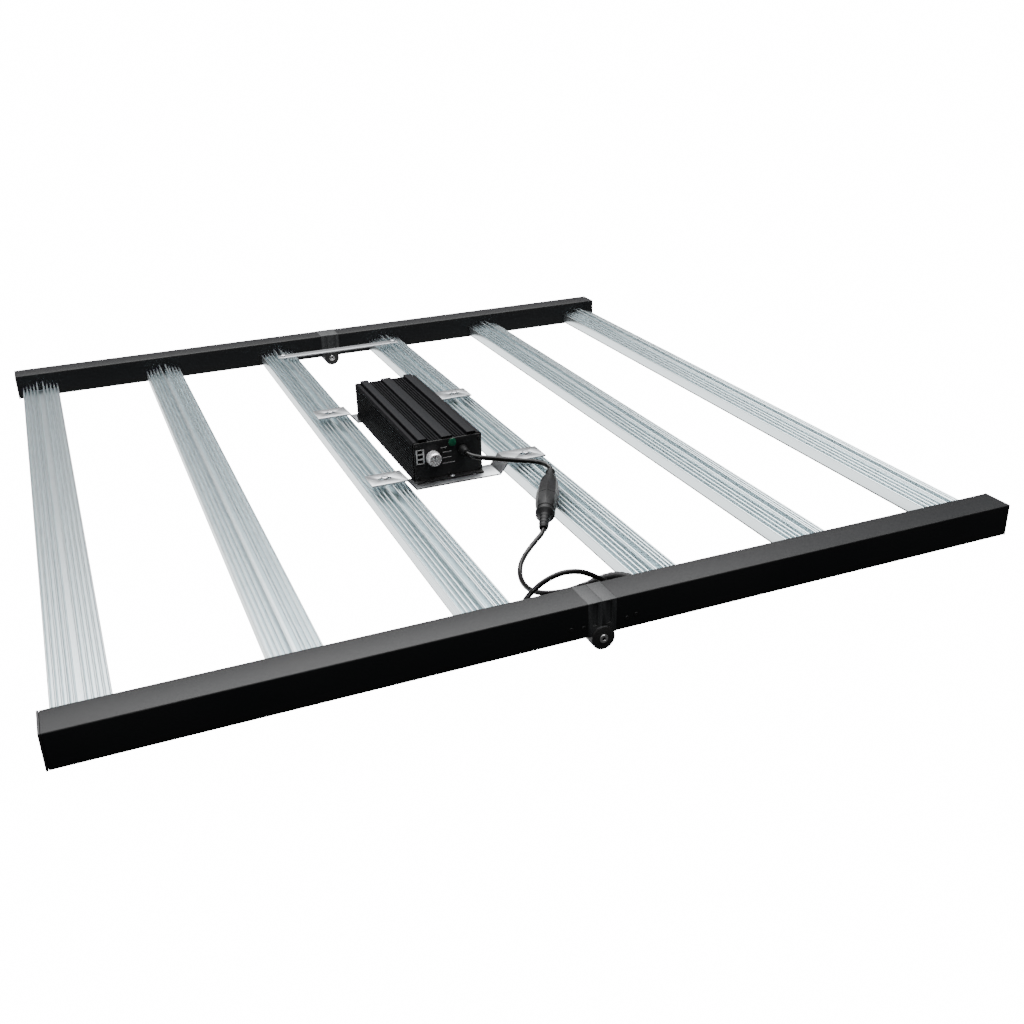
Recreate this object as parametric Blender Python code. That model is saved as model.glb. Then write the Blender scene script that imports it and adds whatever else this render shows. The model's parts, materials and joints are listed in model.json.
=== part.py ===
"""Folding six-bar LED grow light.

Two black square-tube rails, front and back, carry six finned aluminium bars with LED boards underneath.
Each rail is cut in half and hinged below its lower face, so that the right half folds under the left half.
A finned driver box sits on two bent brackets between the two middle bars.

Frame: metres, +X along the rails, +Y along the bars from the front rail to the back rail, +Z up.
The origin is the middle of the light, in the plane of the rails' top faces.
"""

import math

import bmesh
import bpy
from mathutils import Vector

MM = 0.001

# ---------------------------------------------------------------- driving dimensions

RAIL_LENGTH = 1100 * MM        # outer face of the left end cap to outer face of the right one
FRAME_DEPTH = 1160 * MM        # outer face of the front rail to outer face of the back rail
RAIL_WIDTH = 40 * MM
RAIL_HEIGHT = 40 * MM
RAIL_WALL = 2 * MM
GAP = 0.3 * MM                 # clearance between pieces that touch on the real light

CAP_FLANGE = 2.5 * MM
CAP_PLUG = 5 * MM
CAP_WALL = 2.5 * MM

BAR_COUNT = 6
BAR_WIDTH = 56.8 * MM
BAR_HEIGHT = 25.7 * MM         # LED side of the bar to the top of its two middle fins
END_MARGIN = 9.1 * MM          # side of the outermost bar to the end of the rail
SKIRT_HEIGHT = 3.0 * MM        # rim round the LED board
SKIRT_WIDTH = 4.4 * MM
BASE_THICKNESS = 7.0 * MM
FINS_PER_SIDE = 5
FIN_THICKNESS = 2.2 * MM
FIN_CHAMFER = 0.6 * MM
CHANNEL_WIDTH = 7.6 * MM       # clear width between the two middle fins, where the screws go
SIDE_FIN_HEIGHT = 17.2 * MM    # LED side of the bar to the top of its outermost fins
FIN_ARCH_RISE = 4.0 * MM       # how much the side fins rise from the edge to the middle
TONGUE_LENGTH = 24 * MM        # how far the bar's base runs on inside the rail

BOARD_THICKNESS = 1.6 * MM
BOARD_WIDTH = 40 * MM
BOARD_INSET = 4 * MM           # board end to the rail

PIN_DROP = 3 * MM              # hinge axis below the rails' lower faces
KNUCKLE_RADIUS = 13.5 * MM
KNUCKLE_WIDTH = 14 * MM        # each of the two outer knuckles
KNUCKLE_PROUD = 3 * MM         # outer knuckles stand out past the rail's sides
KNUCKLE_CLEARANCE = 0.3 * MM
COLLAR_LENGTH = 16.35 * MM     # part of the hinge leaf seen between rail end and fold line
FOLD_GAP = 0.15 * MM           # fold line to each collar's face
LEAF_TONGUE = 32 * MM          # part of the hinge leaf inside the rail
LEAF_TONGUE_WIDTH = 24 * MM
LEAF_WALL = 3 * MM
GROOVE_WIDTH = 5.5 * MM
GROOVE_DEPTH = 1.5 * MM
GROOVE_SIDE = 5.5 * MM         # fold line to the groove's near edge
GROOVE_TOP = 1.6 * MM
GROOVE_HEIGHT = 26 * MM
PIN_RADIUS = 4 * MM
PIN_CLEARANCE = 0.08 * MM
PIN_HEAD_RADIUS = 5 * MM
PIN_HEAD = 1.4 * MM
PIN_HEAD_CHAMFER = 0.5 * MM
PIN_SOCKET_RADIUS = 2 * MM
PIN_SOCKET_DEPTH = 3 * MM

PAST = 1 * MM                  # run of a cutter beyond the face that it opens
SHEET = 2 * MM                 # metal of the brackets and the fold strap
BRACKET_WIDTH = 38 * MM
BRACKET_TAB_PAST = 22.5 * MM   # tab end past the screw
BRACKET_SIDE = 4 * MM          # tray beyond the driver's left side
BRACKET_FREE = 18 * MM         # tray beyond the driver's right side
BRACKET_DROP = 15.3 * MM       # tab down to tray
BRACKET_SLOPE = 12 * MM        # run of the slanted part
SLOT_LENGTH = 18 * MM
SLOT_WIDTH = 7 * MM

STRAP_WIDTH = 18 * MM
STRAP_OVERHANG = 10 * MM       # strap end past the screw
STRAP_SETBACK = 63 * MM        # strap centre line to the back rail's inner face

SCREW_RADIUS = 2.4 * MM
SCREW_HEAD_RADIUS = 4.8 * MM
SCREW_HEAD = 2.6 * MM
SCREW_GRIP_LEFT = 7 * MM       # depth in the left middle bar's channel
SCREW_GRIP_RIGHT = 3 * MM      # depth in the right middle bar's channel

DRIVER_WIDTH = 99 * MM
DRIVER_LENGTH = 286 * MM       # outer face to outer face of the end plates
DRIVER_HEIGHT = 56.7 * MM      # foot to the side shoulders
DRIVER_WALL = 2.5 * MM
DRIVER_OFFSET = -11 * MM       # driver centre to the fold line
SHOULDER_WIDTH = 6.5 * MM
SHOULDER_CHAMFER = 2 * MM
CASE_GROOVE = 2.5 * MM         # depth of the grooves along the case's top
BAND_GROOVE = 2 * MM           # shoulder to band
BAND_WIDTH = 12.5 * MM         # raised band either side of the ribs
BAND_HEIGHT = 3 * MM
RIB_COUNT = 4                  # ribs between band and middle strip, each side
RIB_WIDTH = 1.6 * MM
RIB_CHAMFER = 0.4 * MM
STRIP_HALF = 8 * MM            # middle strip
STRIP_HEIGHT = 2 * MM
SIDE_GROOVES = (12 * MM, 40 * MM)   # grooves in the case's sides, above the foot
SIDE_GROOVE_WIDTH = 2.5 * MM
SIDE_GROOVE_DEPTH = 1 * MM
END_PLATE = 2 * MM
PLATE_INSET = 1.2 * MM
FOOT_LENGTH = 7 * MM
FOOT_NOTCH_WIDTH = 5 * MM
FOOT_NOTCH_DEPTH = 4.5 * MM
FOOT_NOTCH_EDGE = 15 * MM      # notch to the driver's side
FOOT_SCREW_SIDE = 3 * MM       # foot screw right of the driver's middle
FOOT_SCREW_RADIUS = 1.9 * MM
FOOT_SCREW_HEAD_RADIUS = 3.4 * MM
FOOT_SCREW_HEAD = 2 * MM

KNOB_RADIUS = 9.8 * MM
KNOB_LENGTH = 14 * MM
KNOB_TO_PORT = 17.2 * MM       # knob axis to the socket block's middle
KNOB_RISE = 33 * MM            # knob axis above the driver's foot
KNOB_EDGE = 1 * MM             # rounded rear edge
KNOB_BEVEL = 1.6 * MM          # front edge
KNOB_FACE = 3 * MM             # solid metal in front of the bore
KNOB_FLUTES = 24
KNOB_FLUTE_DEPTH = 0.35 * MM
SHAFT_RADIUS = 3 * MM
SHAFT_CLEARANCE = 0.1 * MM
POT_RADIUS = 8.5 * MM
POT_LENGTH = 9 * MM
POT_BACK = 2 * MM              # solid behind the shaft's bore
BUSH_RADIUS = 4.5 * MM
BUSH_LENGTH = 3.2 * MM

PORT_WIDTH = 11.5 * MM
PORT_HEIGHT = 21 * MM
PORT_DEPTH = 12 * MM
PORT_EDGE = 9.4 * MM           # socket block's middle to the driver's side
PORT_RISE = 35.8 * MM
PORT_PROUD = 0.8 * MM
PORT_COUNT = 3
PORT_HOLE_WIDTH = 7.5 * MM
PORT_HOLE_HEIGHT = 4.8 * MM
PORT_HOLE_DEPTH = 9 * MM

LENS_RADIUS = 5.6 * MM
LENS_SIDE = 6.5 * MM
LENS_RISE = 49.8 * MM
LENS_PROUD = 1.5 * MM
LENS_NECK_RADIUS = 3 * MM

GLAND_SIDE = 20.5 * MM
GLAND_RISE = 37.7 * MM
GLAND_LENGTH = 16 * MM
GLAND_RADIUS = 6.4 * MM
GLAND_TIP_RADIUS = 4.6 * MM

INLET_WIDTH = 28 * MM
INLET_HEIGHT = 20 * MM
INLET_DEPTH = 18 * MM
INLET_WALL = 2 * MM
INLET_FLANGE = 4 * MM
INLET_FLANGE_THICKNESS = 2.2 * MM
INLET_RISE = 28 * MM

CIRCUIT_MARGIN = 3.5 * MM      # board edge to the case's inner wall
CIRCUIT_LENGTH = 250 * MM
CIRCUIT_RISE = 9 * MM
CIRCUIT_THICKNESS = 1.6 * MM

DRIVER_LEAD_DIAMETER = 7 * MM
HARNESS_LEAD_DIAMETER = 6 * MM

CONNECTOR_LENGTH = 146 * MM
CONNECTOR_RADIUS = 14.6 * MM
CONNECTOR_TOP = Vector((97, -239.5, -0.9)) * MM
CONNECTOR_END = Vector((28, -368.5, -14.4)) * MM

GROMMET_RADIUS = 6.5 * MM
GROMMET_TIP_RADIUS = 4.2 * MM
GROMMET_NECK_RADIUS = 5 * MM
GROMMET_LENGTH = 8 * MM
GROMMET_PAST = 1.5 * MM        # neck beyond the rail's wall, inside
JUMPER_EDGE = 8.1 * MM         # jumper lead's left grommet to the left middle bar
JUMPER_RIGHT = 44 * MM         # its right grommet to the fold line
JUMPER_HEIGHT = -21 * MM
HARNESS_EDGE = 9.1 * MM        # harness boot to the right middle bar
HARNESS_HEIGHT = -15.5 * MM
BOOT_FLANGE = 3 * MM
BOOT_TIP_RADIUS = 3.7 * MM
BOOT_SWELL = 1.5 * MM          # growth of the radius from the tip to the root

# Free leads: route points in millimetres, in the light's own frame.
DRIVER_LEAD_ROUTE = (
    (9.5, -159.5, 13.0), (9.5, -165.0, 13.0), (10.8, -171.2, 12.9), (14.6, -177.0, 12.5),
    (20.6, -181.4, 11.8), (28.5, -184.7, 11.0), (40.0, -188.8, 9.4), (52.0, -193.1, 7.6),
    (64.0, -197.4, 5.9), (76.0, -201.7, 4.3), (87.2, -206.0, 2.9), (95.9, -212.4, 1.7),
    (100.4, -221.0, 0.7), (100.9, -229.4, 0.0), (98.6, -236.6, -0.6), (97.16, -239.2, -0.87),
)
HARNESS_LEAD_ROUTE = (
    (27.84, -368.8, -14.43), (25.96, -372.3, -14.8), (20.5, -378.5, -16.0), (10.5, -386.0, -18.5),
    (-1.5, -395.5, -21.5), (-13.5, -407.0, -24.0), (-24.0, -420.5, -25.8), (-32.0, -436.0, -26.8),
    (-37.8, -453.0, -26.6), (-41.0, -471.0, -25.2), (-41.0, -488.0, -22.8), (-36.5, -502.5, -20.0),
    (-27.0, -512.5, -17.5), (-13.0, -516.6, -16.4), (0.0, -514.4, -17.0), (9.0, -510.9, -18.0),
    (15.5, -509.4, -18.3), (19.5, -509.05, -18.05),
)
JUMPER_LEAD_ROUTE = (
    (-66.0, -531.6, -21.0), (-66.0, -528.4, -21.0), (-64.6, -522.3, -19.8), (-60.9, -517.5, -16.7),
    (-55.6, -515.6, -12.4), (-49.8, -515.0, -8.0), (-42.8, -514.6, -3.4), (-34.0, -514.5, 0.8),
    (-24.0, -514.9, 4.2), (-13.5, -515.6, 5.8), (-3.0, -516.2, 5.0), (7.0, -516.4, 2.2),
    (16.0, -516.2, -2.4), (24.5, -515.8, -8.0), (32.6, -515.7, -13.4), (38.4, -517.4, -17.2),
    (42.5, -522.3, -20.0), (44.0, -528.4, -21.0), (44.0, -531.6, -21.0),
)
# Boot: points from the middle of its hole in the rail.
BOOT_ROUTE = (
    (-45.0, 31.0, -2.5), (-29.0, 32.5, -1.5), (-14.0, 30.0, -0.6), (-3.8, 21.0, 0.0), (0.0, 10.0, 0.0),
    (0.0, -1.0, 0.0),
)

ROUND = 40                     # sides of a large round piece
SMALL_ROUND = 24

# ---------------------------------------------------------------- derived places

BAR_PITCH = (RAIL_LENGTH - 2 * END_MARGIN - BAR_WIDTH) / (BAR_COUNT - 1)
BAR_X = [(i - (BAR_COUNT - 1) / 2) * BAR_PITCH for i in range(BAR_COUNT)]
MIDDLE_BAR = BAR_PITCH / 2
MIDDLE_GAP = MIDDLE_BAR - BAR_WIDTH / 2
INNER_FACE = FRAME_DEPTH / 2 - RAIL_WIDTH
RAIL_CENTRE = FRAME_DEPTH / 2 - RAIL_WIDTH / 2
RAIL_BOTTOM = -RAIL_HEIGHT
BAR_BOTTOM = RAIL_BOTTOM + RAIL_WALL + GAP
BAR_TOP = BAR_BOTTOM + BAR_HEIGHT
BASE_TOP = BAR_BOTTOM + SKIRT_HEIGHT + BASE_THICKNESS
PIVOT = Vector((0, 0, RAIL_BOTTOM - PIN_DROP))
COLLAR_END = FOLD_GAP + COLLAR_LENGTH
RAIL_START = COLLAR_END + GAP
RAIL_END = RAIL_LENGTH / 2 - CAP_FLANGE - GAP
TAB_BOTTOM = BAR_TOP + GAP
TAB_TOP = TAB_BOTTOM + SHEET
TRAY_TOP = TAB_TOP - BRACKET_DROP
FOOT = TRAY_TOP + GAP
CASE_END = DRIVER_LENGTH / 2 - END_PLATE - GAP
FOOT_END = DRIVER_LENGTH / 2 + FOOT_LENGTH
BRACKET_Y = DRIVER_LENGTH / 2 + 1 * MM
FOOT_SCREW_Y = DRIVER_LENGTH / 2 + 4.2 * MM
STRAP_Y = INNER_FACE - STRAP_SETBACK
BAND_OUTER = DRIVER_WIDTH / 2 - SHOULDER_WIDTH - BAND_GROOVE
BAND_INNER = BAND_OUTER - BAND_WIDTH
PORT_SIDE = PORT_EDGE - DRIVER_WIDTH / 2
KNOB_SIDE = PORT_SIDE + KNOB_TO_PORT
FOOT_NOTCH_SIDE = DRIVER_WIDTH / 2 - FOOT_NOTCH_EDGE
CIRCUIT_WIDTH = DRIVER_WIDTH - 2 * (DRIVER_WALL + CIRCUIT_MARGIN)
JUMPER_LEFT = JUMPER_EDGE - MIDDLE_GAP
HARNESS_ENTRY = MIDDLE_GAP - HARNESS_EDGE
KNOB_AXIS = Vector((DRIVER_OFFSET + KNOB_SIDE, -DRIVER_LENGTH / 2, FOOT + KNOB_RISE))


# ---------------------------------------------------------------- shapes

def loft(rings):
    """Closed mesh through a list of equal rings, with a flat cap at each end."""
    bm = bmesh.new()
    loops = [[bm.verts.new(point) for point in ring] for ring in rings]
    count = len(loops[0])
    for near, far in zip(loops, loops[1:]):
        for i in range(count):
            j = (i + 1) % count
            bm.faces.new((near[i], near[j], far[j], far[i]))
    bm.faces.new(loops[0])
    bm.faces.new(loops[-1])
    bmesh.ops.recalc_face_normals(bm, faces=bm.faces)
    mesh = bpy.data.meshes.new("shape")
    bm.to_mesh(mesh)
    bm.free()
    return mesh


def along(axis, u, v, w):
    """Point with w along the axis and (u, v) on the other two axes, in X, Y, Z order."""
    if axis == "X":
        return Vector((w, u, v))
    if axis == "Y":
        return Vector((u, w, v))
    return Vector((u, v, w))


def prism(outline, axis, low, high):
    """Outline of (u, v) points extruded along an axis."""
    return loft([[along(axis, u, v, w) for u, v in outline] for w in (low, high)])


def block(low, high):
    """Box between two corners."""
    outline = ((low[0], low[1]), (high[0], low[1]), (high[0], high[1]), (low[0], high[1]))
    return prism(outline, "Z", low[2], high[2])


def circle(radius, sides, centre=(0.0, 0.0)):
    """Points of a circle."""
    step = 2 * math.pi / sides
    return [(centre[0] + radius * math.cos(i * step), centre[1] + radius * math.sin(i * step))
            for i in range(sides)]


def turned(profile, axis, centre, sides):
    """Round solid: profile is a list of (place along the axis, radius)."""
    return loft([[along(axis, u, v, w) for u, v in circle(radius, sides, centre)] for w, radius in profile])


def rod(axis, centre, radius, low, high, sides=SMALL_ROUND):
    """Plain cylinder."""
    return turned(((low, radius), (high, radius)), axis, centre, sides)


def stadium(length, width, centre, sides=16):
    """Slot outline with round ends, long side along the first axis."""
    points = []
    half = (length - width) / 2
    for end, start in ((1, -math.pi / 2), (-1, math.pi / 2)):
        for i in range(sides // 2 + 1):
            angle = start + math.pi * i / (sides // 2)
            points.append((centre[0] + end * half + width / 2 * math.cos(angle),
                           centre[1] + width / 2 * math.sin(angle)))
    return points


def combine(mesh, tool_mesh, operation):
    """Result of one exact Boolean between two meshes."""
    scene = bpy.context.scene.collection
    target = bpy.data.objects.new("target", mesh)
    tool = bpy.data.objects.new("tool", tool_mesh)
    scene.objects.link(target)
    scene.objects.link(tool)
    boolean = target.modifiers.new("boolean", "BOOLEAN")
    boolean.operation = operation
    boolean.solver = "EXACT"
    boolean.object = tool
    graph = bpy.context.evaluated_depsgraph_get()
    result = bpy.data.meshes.new_from_object(target.evaluated_get(graph))
    bpy.data.objects.remove(target)
    bpy.data.objects.remove(tool)
    return result


def shaped(mesh, add=(), cut=()):
    """Mesh with further solids joined on and then others taken away."""
    for extra in add:
        mesh = combine(mesh, extra, "UNION")
    for hole in cut:
        mesh = combine(mesh, hole, "DIFFERENCE")
    return mesh


# ---------------------------------------------------------------- materials and placing

def make_material(name, colour, metallic, roughness):
    """Plain Principled material."""
    material = bpy.data.materials.new(name)
    material.use_nodes = True
    shader = material.node_tree.nodes["Principled BSDF"]
    shader.inputs["Base Color"].default_value = (*colour, 1.0)
    shader.inputs["Metallic"].default_value = metallic
    shader.inputs["Roughness"].default_value = roughness
    return material


def make_materials():
    """All finishes of the light, by name."""
    finishes = {
        "rail_black": ((0.012, 0.012, 0.013), 0.0, 0.42),
        "hinge_grey": ((0.045, 0.048, 0.052), 0.0, 0.55),
        "cap_black": ((0.015, 0.015, 0.016), 0.0, 0.6),
        "bar_aluminium": ((0.62, 0.65, 0.67), 1.0, 0.38),
        "board_white": ((0.82, 0.83, 0.8), 0.0, 0.5),
        "sheet_metal": ((0.72, 0.74, 0.76), 1.0, 0.35),
        "screw_steel": ((0.6, 0.61, 0.63), 1.0, 0.3),
        "driver_black": ((0.016, 0.016, 0.018), 0.0, 0.45),
        "plate_black": ((0.012, 0.012, 0.013), 0.0, 0.5),
        "knob_silver": ((0.8, 0.8, 0.8), 1.0, 0.22),
        "port_grey": ((0.42, 0.43, 0.43), 0.0, 0.5),
        "lens_green": ((0.01, 0.09, 0.05), 0.0, 0.2),
        "circuit_green": ((0.02, 0.14, 0.06), 0.0, 0.5),
        "cord_black": ((0.011, 0.011, 0.011), 0.0, 0.3),
    }
    return {name: make_material(name, *values) for name, values in finishes.items()}


def add_piece(name, mesh, material, parent, place=(0, 0, 0), smooth=False):
    """Named object at a place in the light's frame, under a parent empty."""
    mesh.name = name
    mesh.materials.clear()
    mesh.materials.append(material)
    if smooth:
        mesh.shade_smooth()
        mesh.set_sharp_from_angle(angle=math.radians(35))
    piece = bpy.data.objects.new(name, mesh)
    bpy.context.scene.collection.objects.link(piece)
    piece.parent = parent
    piece.location = Vector(place) - parent.location
    return piece


def add_axis(name, place):
    """Empty that stands on a joint's axis."""
    empty = bpy.data.objects.new(name, None)
    bpy.context.scene.collection.objects.link(empty)
    empty.location = place
    return empty


# ---------------------------------------------------------------- rails

def rail_mesh(side, row):
    """Half rail: square tube with slots for three bar tongues; side -1 left, row -1 front."""
    low_x, high_x = sorted((side * RAIL_START, side * RAIL_END))
    half = RAIL_WIDTH / 2
    tube = block((low_x, -half, RAIL_BOTTOM), (high_x, half, 0))
    hollow = block((low_x - PAST, -half + RAIL_WALL, RAIL_BOTTOM + RAIL_WALL),
                   (high_x + PAST, half - RAIL_WALL, -RAIL_WALL))
    inner = -row * half
    wall = sorted((inner + row * (RAIL_WALL + PAST), inner - row * PAST))
    cuts = [hollow]
    slot_floor = RAIL_BOTTOM + RAIL_WALL + 0.05 * MM
    for x in BAR_X:
        if x * side > 0:
            reach = BAR_WIDTH / 2 + GAP
            cuts.append(block((x - reach, wall[0], slot_floor), (x + reach, wall[1], BASE_TOP + GAP)))
    if row < 0:
        holes = [(JUMPER_LEFT, JUMPER_HEIGHT, GROMMET_NECK_RADIUS)] if side < 0 else [
            (JUMPER_RIGHT, JUMPER_HEIGHT, GROMMET_NECK_RADIUS),
            (HARNESS_ENTRY, HARNESS_HEIGHT, GROMMET_NECK_RADIUS)]
        for x, z, radius in holes:
            cuts.append(rod("Y", (x, z), radius + GAP, wall[0], wall[1]))
    return shaped(tube, cut=cuts)


def end_cap_mesh(side):
    """Push-in plastic cap: flange the size of the rail and a hollow plug inside it."""
    half = RAIL_WIDTH / 2
    outer = side * RAIL_LENGTH / 2
    flange_inner = outer - side * CAP_FLANGE
    plug_end = flange_inner - side * CAP_PLUG
    inset = RAIL_WALL + GAP
    low_x, high_x = sorted((outer, flange_inner))
    flange = block((low_x, -half, RAIL_BOTTOM), (high_x, half, 0))
    low_x, high_x = sorted((flange_inner + side * PAST, plug_end))
    plug = block((low_x, -half + inset, RAIL_BOTTOM + inset), (high_x, half - inset, -inset))
    inset += CAP_WALL
    low_x, high_x = sorted((flange_inner, plug_end - side * PAST))
    pocket = block((low_x, -half + inset, RAIL_BOTTOM + inset), (high_x, half - inset, -inset))
    return shaped(flange, add=[plug], cut=[pocket])


# ---------------------------------------------------------------- bars

def fin_centres():
    """Fins of one side, from the middle fin outwards."""
    first = CHANNEL_WIDTH / 2 + FIN_THICKNESS / 2
    last = BAR_WIDTH / 2 - FIN_THICKNESS / 2
    step = (last - first) / (FINS_PER_SIDE - 1)
    return [first + i * step for i in range(FINS_PER_SIDE)]


def fin_top(centre):
    """Height of a fin's top: side fins follow a shallow arch, the two middle fins stand taller."""
    if abs(centre) < CHANNEL_WIDTH / 2 + FIN_THICKNESS:
        return BAR_TOP
    share = abs(centre) / (BAR_WIDTH / 2)
    return BAR_BOTTOM + SIDE_FIN_HEIGHT + FIN_ARCH_RISE * (1 - share * share)


def bar_outline():
    """Cross-section of a bar: skirted base below, fins above."""
    half = BAR_WIDTH / 2
    centres = [-c for c in reversed(fin_centres())] + fin_centres()
    points = [(-half, BAR_BOTTOM)]
    for number, centre in enumerate(centres):
        left = centre - FIN_THICKNESS / 2
        right = centre + FIN_THICKNESS / 2
        top = fin_top(centre)
        if number > 0:
            points.append((left, BASE_TOP))
        points += [(left, top - FIN_CHAMFER), (left + FIN_CHAMFER, top),
                   (right - FIN_CHAMFER, top), (right, top - FIN_CHAMFER)]
        if number < len(centres) - 1:
            points.append((right, BASE_TOP))
    skirt = half - SKIRT_WIDTH
    points += [(half, BAR_BOTTOM), (skirt, BAR_BOTTOM), (skirt, BAR_BOTTOM + SKIRT_HEIGHT),
               (-skirt, BAR_BOTTOM + SKIRT_HEIGHT), (-skirt, BAR_BOTTOM)]
    return points


def bar_mesh():
    """Heat sink as long as the space between the rails, with its base running on into both rails."""
    length = INNER_FACE + TONGUE_LENGTH
    extrusion = prism(bar_outline(), "Y", -length, length)
    reach = BAR_WIDTH / 2 + PAST
    cuts = []
    for row in (-1, 1):
        low, high = sorted((row * (INNER_FACE - GAP), row * (length + 1 * MM)))
        cuts.append(block((-reach, low, BASE_TOP - 0.1 * MM), (reach, high, BAR_TOP + PAST)))
    return shaped(extrusion, cut=cuts)


def board_mesh():
    """LED board under the bar's base."""
    top = BAR_BOTTOM + SKIRT_HEIGHT - GAP
    length = INNER_FACE - BOARD_INSET
    return block((-BOARD_WIDTH / 2, -length, top - BOARD_THICKNESS), (BOARD_WIDTH / 2, length, top))


# ---------------------------------------------------------------- fold hinges

def leaf_body(side, row):
    """Collar between rail end and fold line, with a hollow tongue inside the rail's outer wall."""
    half = RAIL_WIDTH / 2
    bottom = RAIL_BOTTOM - PIVOT.z
    top = -PIVOT.z
    low_x, high_x = sorted((side * FOLD_GAP, side * COLLAR_END))
    collar = block((low_x, -half, bottom), (high_x, half, top))
    inset = RAIL_WALL + GAP
    tongue_end = side * (COLLAR_END + LEAF_TONGUE)
    outer = row * (half - inset)
    low_y, high_y = sorted((outer, outer - row * LEAF_TONGUE_WIDTH))
    low_x, high_x = sorted((side * (COLLAR_END - PAST), tongue_end))
    tongue = block((low_x, low_y, bottom + inset), (high_x, high_y, top - inset))
    low_x, high_x = sorted((side * (COLLAR_END + LEAF_WALL), tongue_end + side * PAST))
    pocket = block((low_x, low_y + LEAF_WALL, bottom + inset + LEAF_WALL),
                   (high_x, high_y - LEAF_WALL, top - inset - LEAF_WALL))
    grooves = []
    for face in (-1, 1):
        low_x, high_x = sorted((side * GROOVE_SIDE, side * (GROOVE_SIDE + GROOVE_WIDTH)))
        low_y, high_y = sorted((face * (half + PAST), face * (half - GROOVE_DEPTH)))
        grooves.append(block((low_x, low_y, top - GROOVE_TOP - GROOVE_HEIGHT),
                             (high_x, high_y, top - GROOVE_TOP)))
    return shaped(collar, add=[tongue], cut=[pocket] + grooves)


def leaf_mesh(side, row):
    """Hinge leaf about its pin axis: the left one has two outer knuckles, the right one a middle one."""
    half = RAIL_WIDTH / 2
    face = half + KNUCKLE_PROUD
    inner = face - KNUCKLE_WIDTH
    clear = KNUCKLE_RADIUS + KNUCKLE_CLEARANCE
    reach = inner - GAP
    middle = (-reach, reach)
    outer = ((-face, -inner), (inner, face))
    body = leaf_body(side, row)
    if side < 0:
        knuckles = [rod("Y", (0, 0), KNUCKLE_RADIUS, low, high, ROUND) for low, high in outer]
        cuts = [rod("Y", (0, 0), clear, -inner, inner, ROUND)]
        mesh = shaped(body, cut=cuts)
        mesh = shaped(mesh, add=knuckles)
    else:
        cuts = [rod("Y", (0, 0), clear, -face - PAST, -reach, ROUND),
                rod("Y", (0, 0), clear, reach, face + PAST, ROUND)]
        mesh = shaped(body, cut=cuts)
        mesh = shaped(mesh, add=[rod("Y", (0, 0), KNUCKLE_RADIUS, middle[0], middle[1], ROUND)])
    bore = rod("Y", (0, 0), PIN_RADIUS + PIN_CLEARANCE, -face - 2 * MM, face + 2 * MM)
    return shaped(mesh, cut=[bore])


def pin_mesh():
    """Riveted hinge pin with a flat head and a round socket at both ends."""
    face = RAIL_WIDTH / 2 + KNUCKLE_PROUD + GAP
    end = face + PIN_HEAD
    rim = PIN_HEAD_RADIUS - PIN_HEAD_CHAMFER
    edge = end - PIN_HEAD_CHAMFER
    outline = ((-end, rim), (-edge, PIN_HEAD_RADIUS), (-face, PIN_HEAD_RADIUS), (-face, PIN_RADIUS),
               (face, PIN_RADIUS), (face, PIN_HEAD_RADIUS), (edge, PIN_HEAD_RADIUS), (end, rim))
    body = turned(outline, "Y", (0, 0), SMALL_ROUND)
    floor = end - PIN_SOCKET_DEPTH
    sockets = [rod("Y", (0, 0), PIN_SOCKET_RADIUS, low, high, 16)
               for low, high in ((-end - PAST, -floor), (floor, end + PAST))]
    return shaped(body, cut=sockets)


# ---------------------------------------------------------------- brackets, strap and screws

def bracket_mesh(row):
    """Bent strip: a slotted tab on each middle bar and a lower tray under the driver."""
    half = SHEET / 2
    tab_end = MIDDLE_BAR + BRACKET_TAB_PAST
    left = DRIVER_WIDTH / 2 - DRIVER_OFFSET + BRACKET_SIDE
    right = DRIVER_WIDTH / 2 + DRIVER_OFFSET + BRACKET_FREE
    high = TAB_BOTTOM + half
    low = high - BRACKET_DROP
    lean = math.atan2(BRACKET_DROP, BRACKET_SLOPE)
    shift = half * math.tan(lean / 2)
    upper = [(-tab_end, high + half), (-left - BRACKET_SLOPE + shift, high + half),
             (-left + shift, low + half), (right - shift, low + half),
             (right + BRACKET_SLOPE - shift, high + half), (tab_end, high + half)]
    lower = [(tab_end, high - half), (right + BRACKET_SLOPE + shift, high - half),
             (right + shift, low - half), (-left - shift, low - half),
             (-left - BRACKET_SLOPE - shift, high - half), (-tab_end, high - half)]
    strip = prism(upper + lower, "Y", -BRACKET_WIDTH / 2, BRACKET_WIDTH / 2)
    cuts = [prism(stadium(SLOT_LENGTH, SLOT_WIDTH, (side * MIDDLE_BAR, 0)), "Z", high - SHEET, high + SHEET)
            for side in (-1, 1)]
    hole = (DRIVER_OFFSET + FOOT_SCREW_SIDE, row * (FOOT_SCREW_Y - BRACKET_Y))
    cuts.append(rod("Z", hole, FOOT_SCREW_RADIUS + GAP, low - SHEET, low + SHEET))
    return shaped(strip, cut=cuts)


def strap_mesh():
    """Flat strap across the fold line, screwed into both middle bars."""
    outline = stadium(2 * (MIDDLE_BAR + STRAP_OVERHANG), STRAP_WIDTH, (0, 0), SMALL_ROUND)
    strip = prism(outline, "Z", TAB_BOTTOM, TAB_TOP)
    holes = [rod("Z", (side * MIDDLE_BAR, 0), SCREW_RADIUS + GAP, TAB_BOTTOM - PAST, TAB_TOP + PAST)
             for side in (-1, 1)]
    return shaped(strip, cut=holes)


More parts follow.
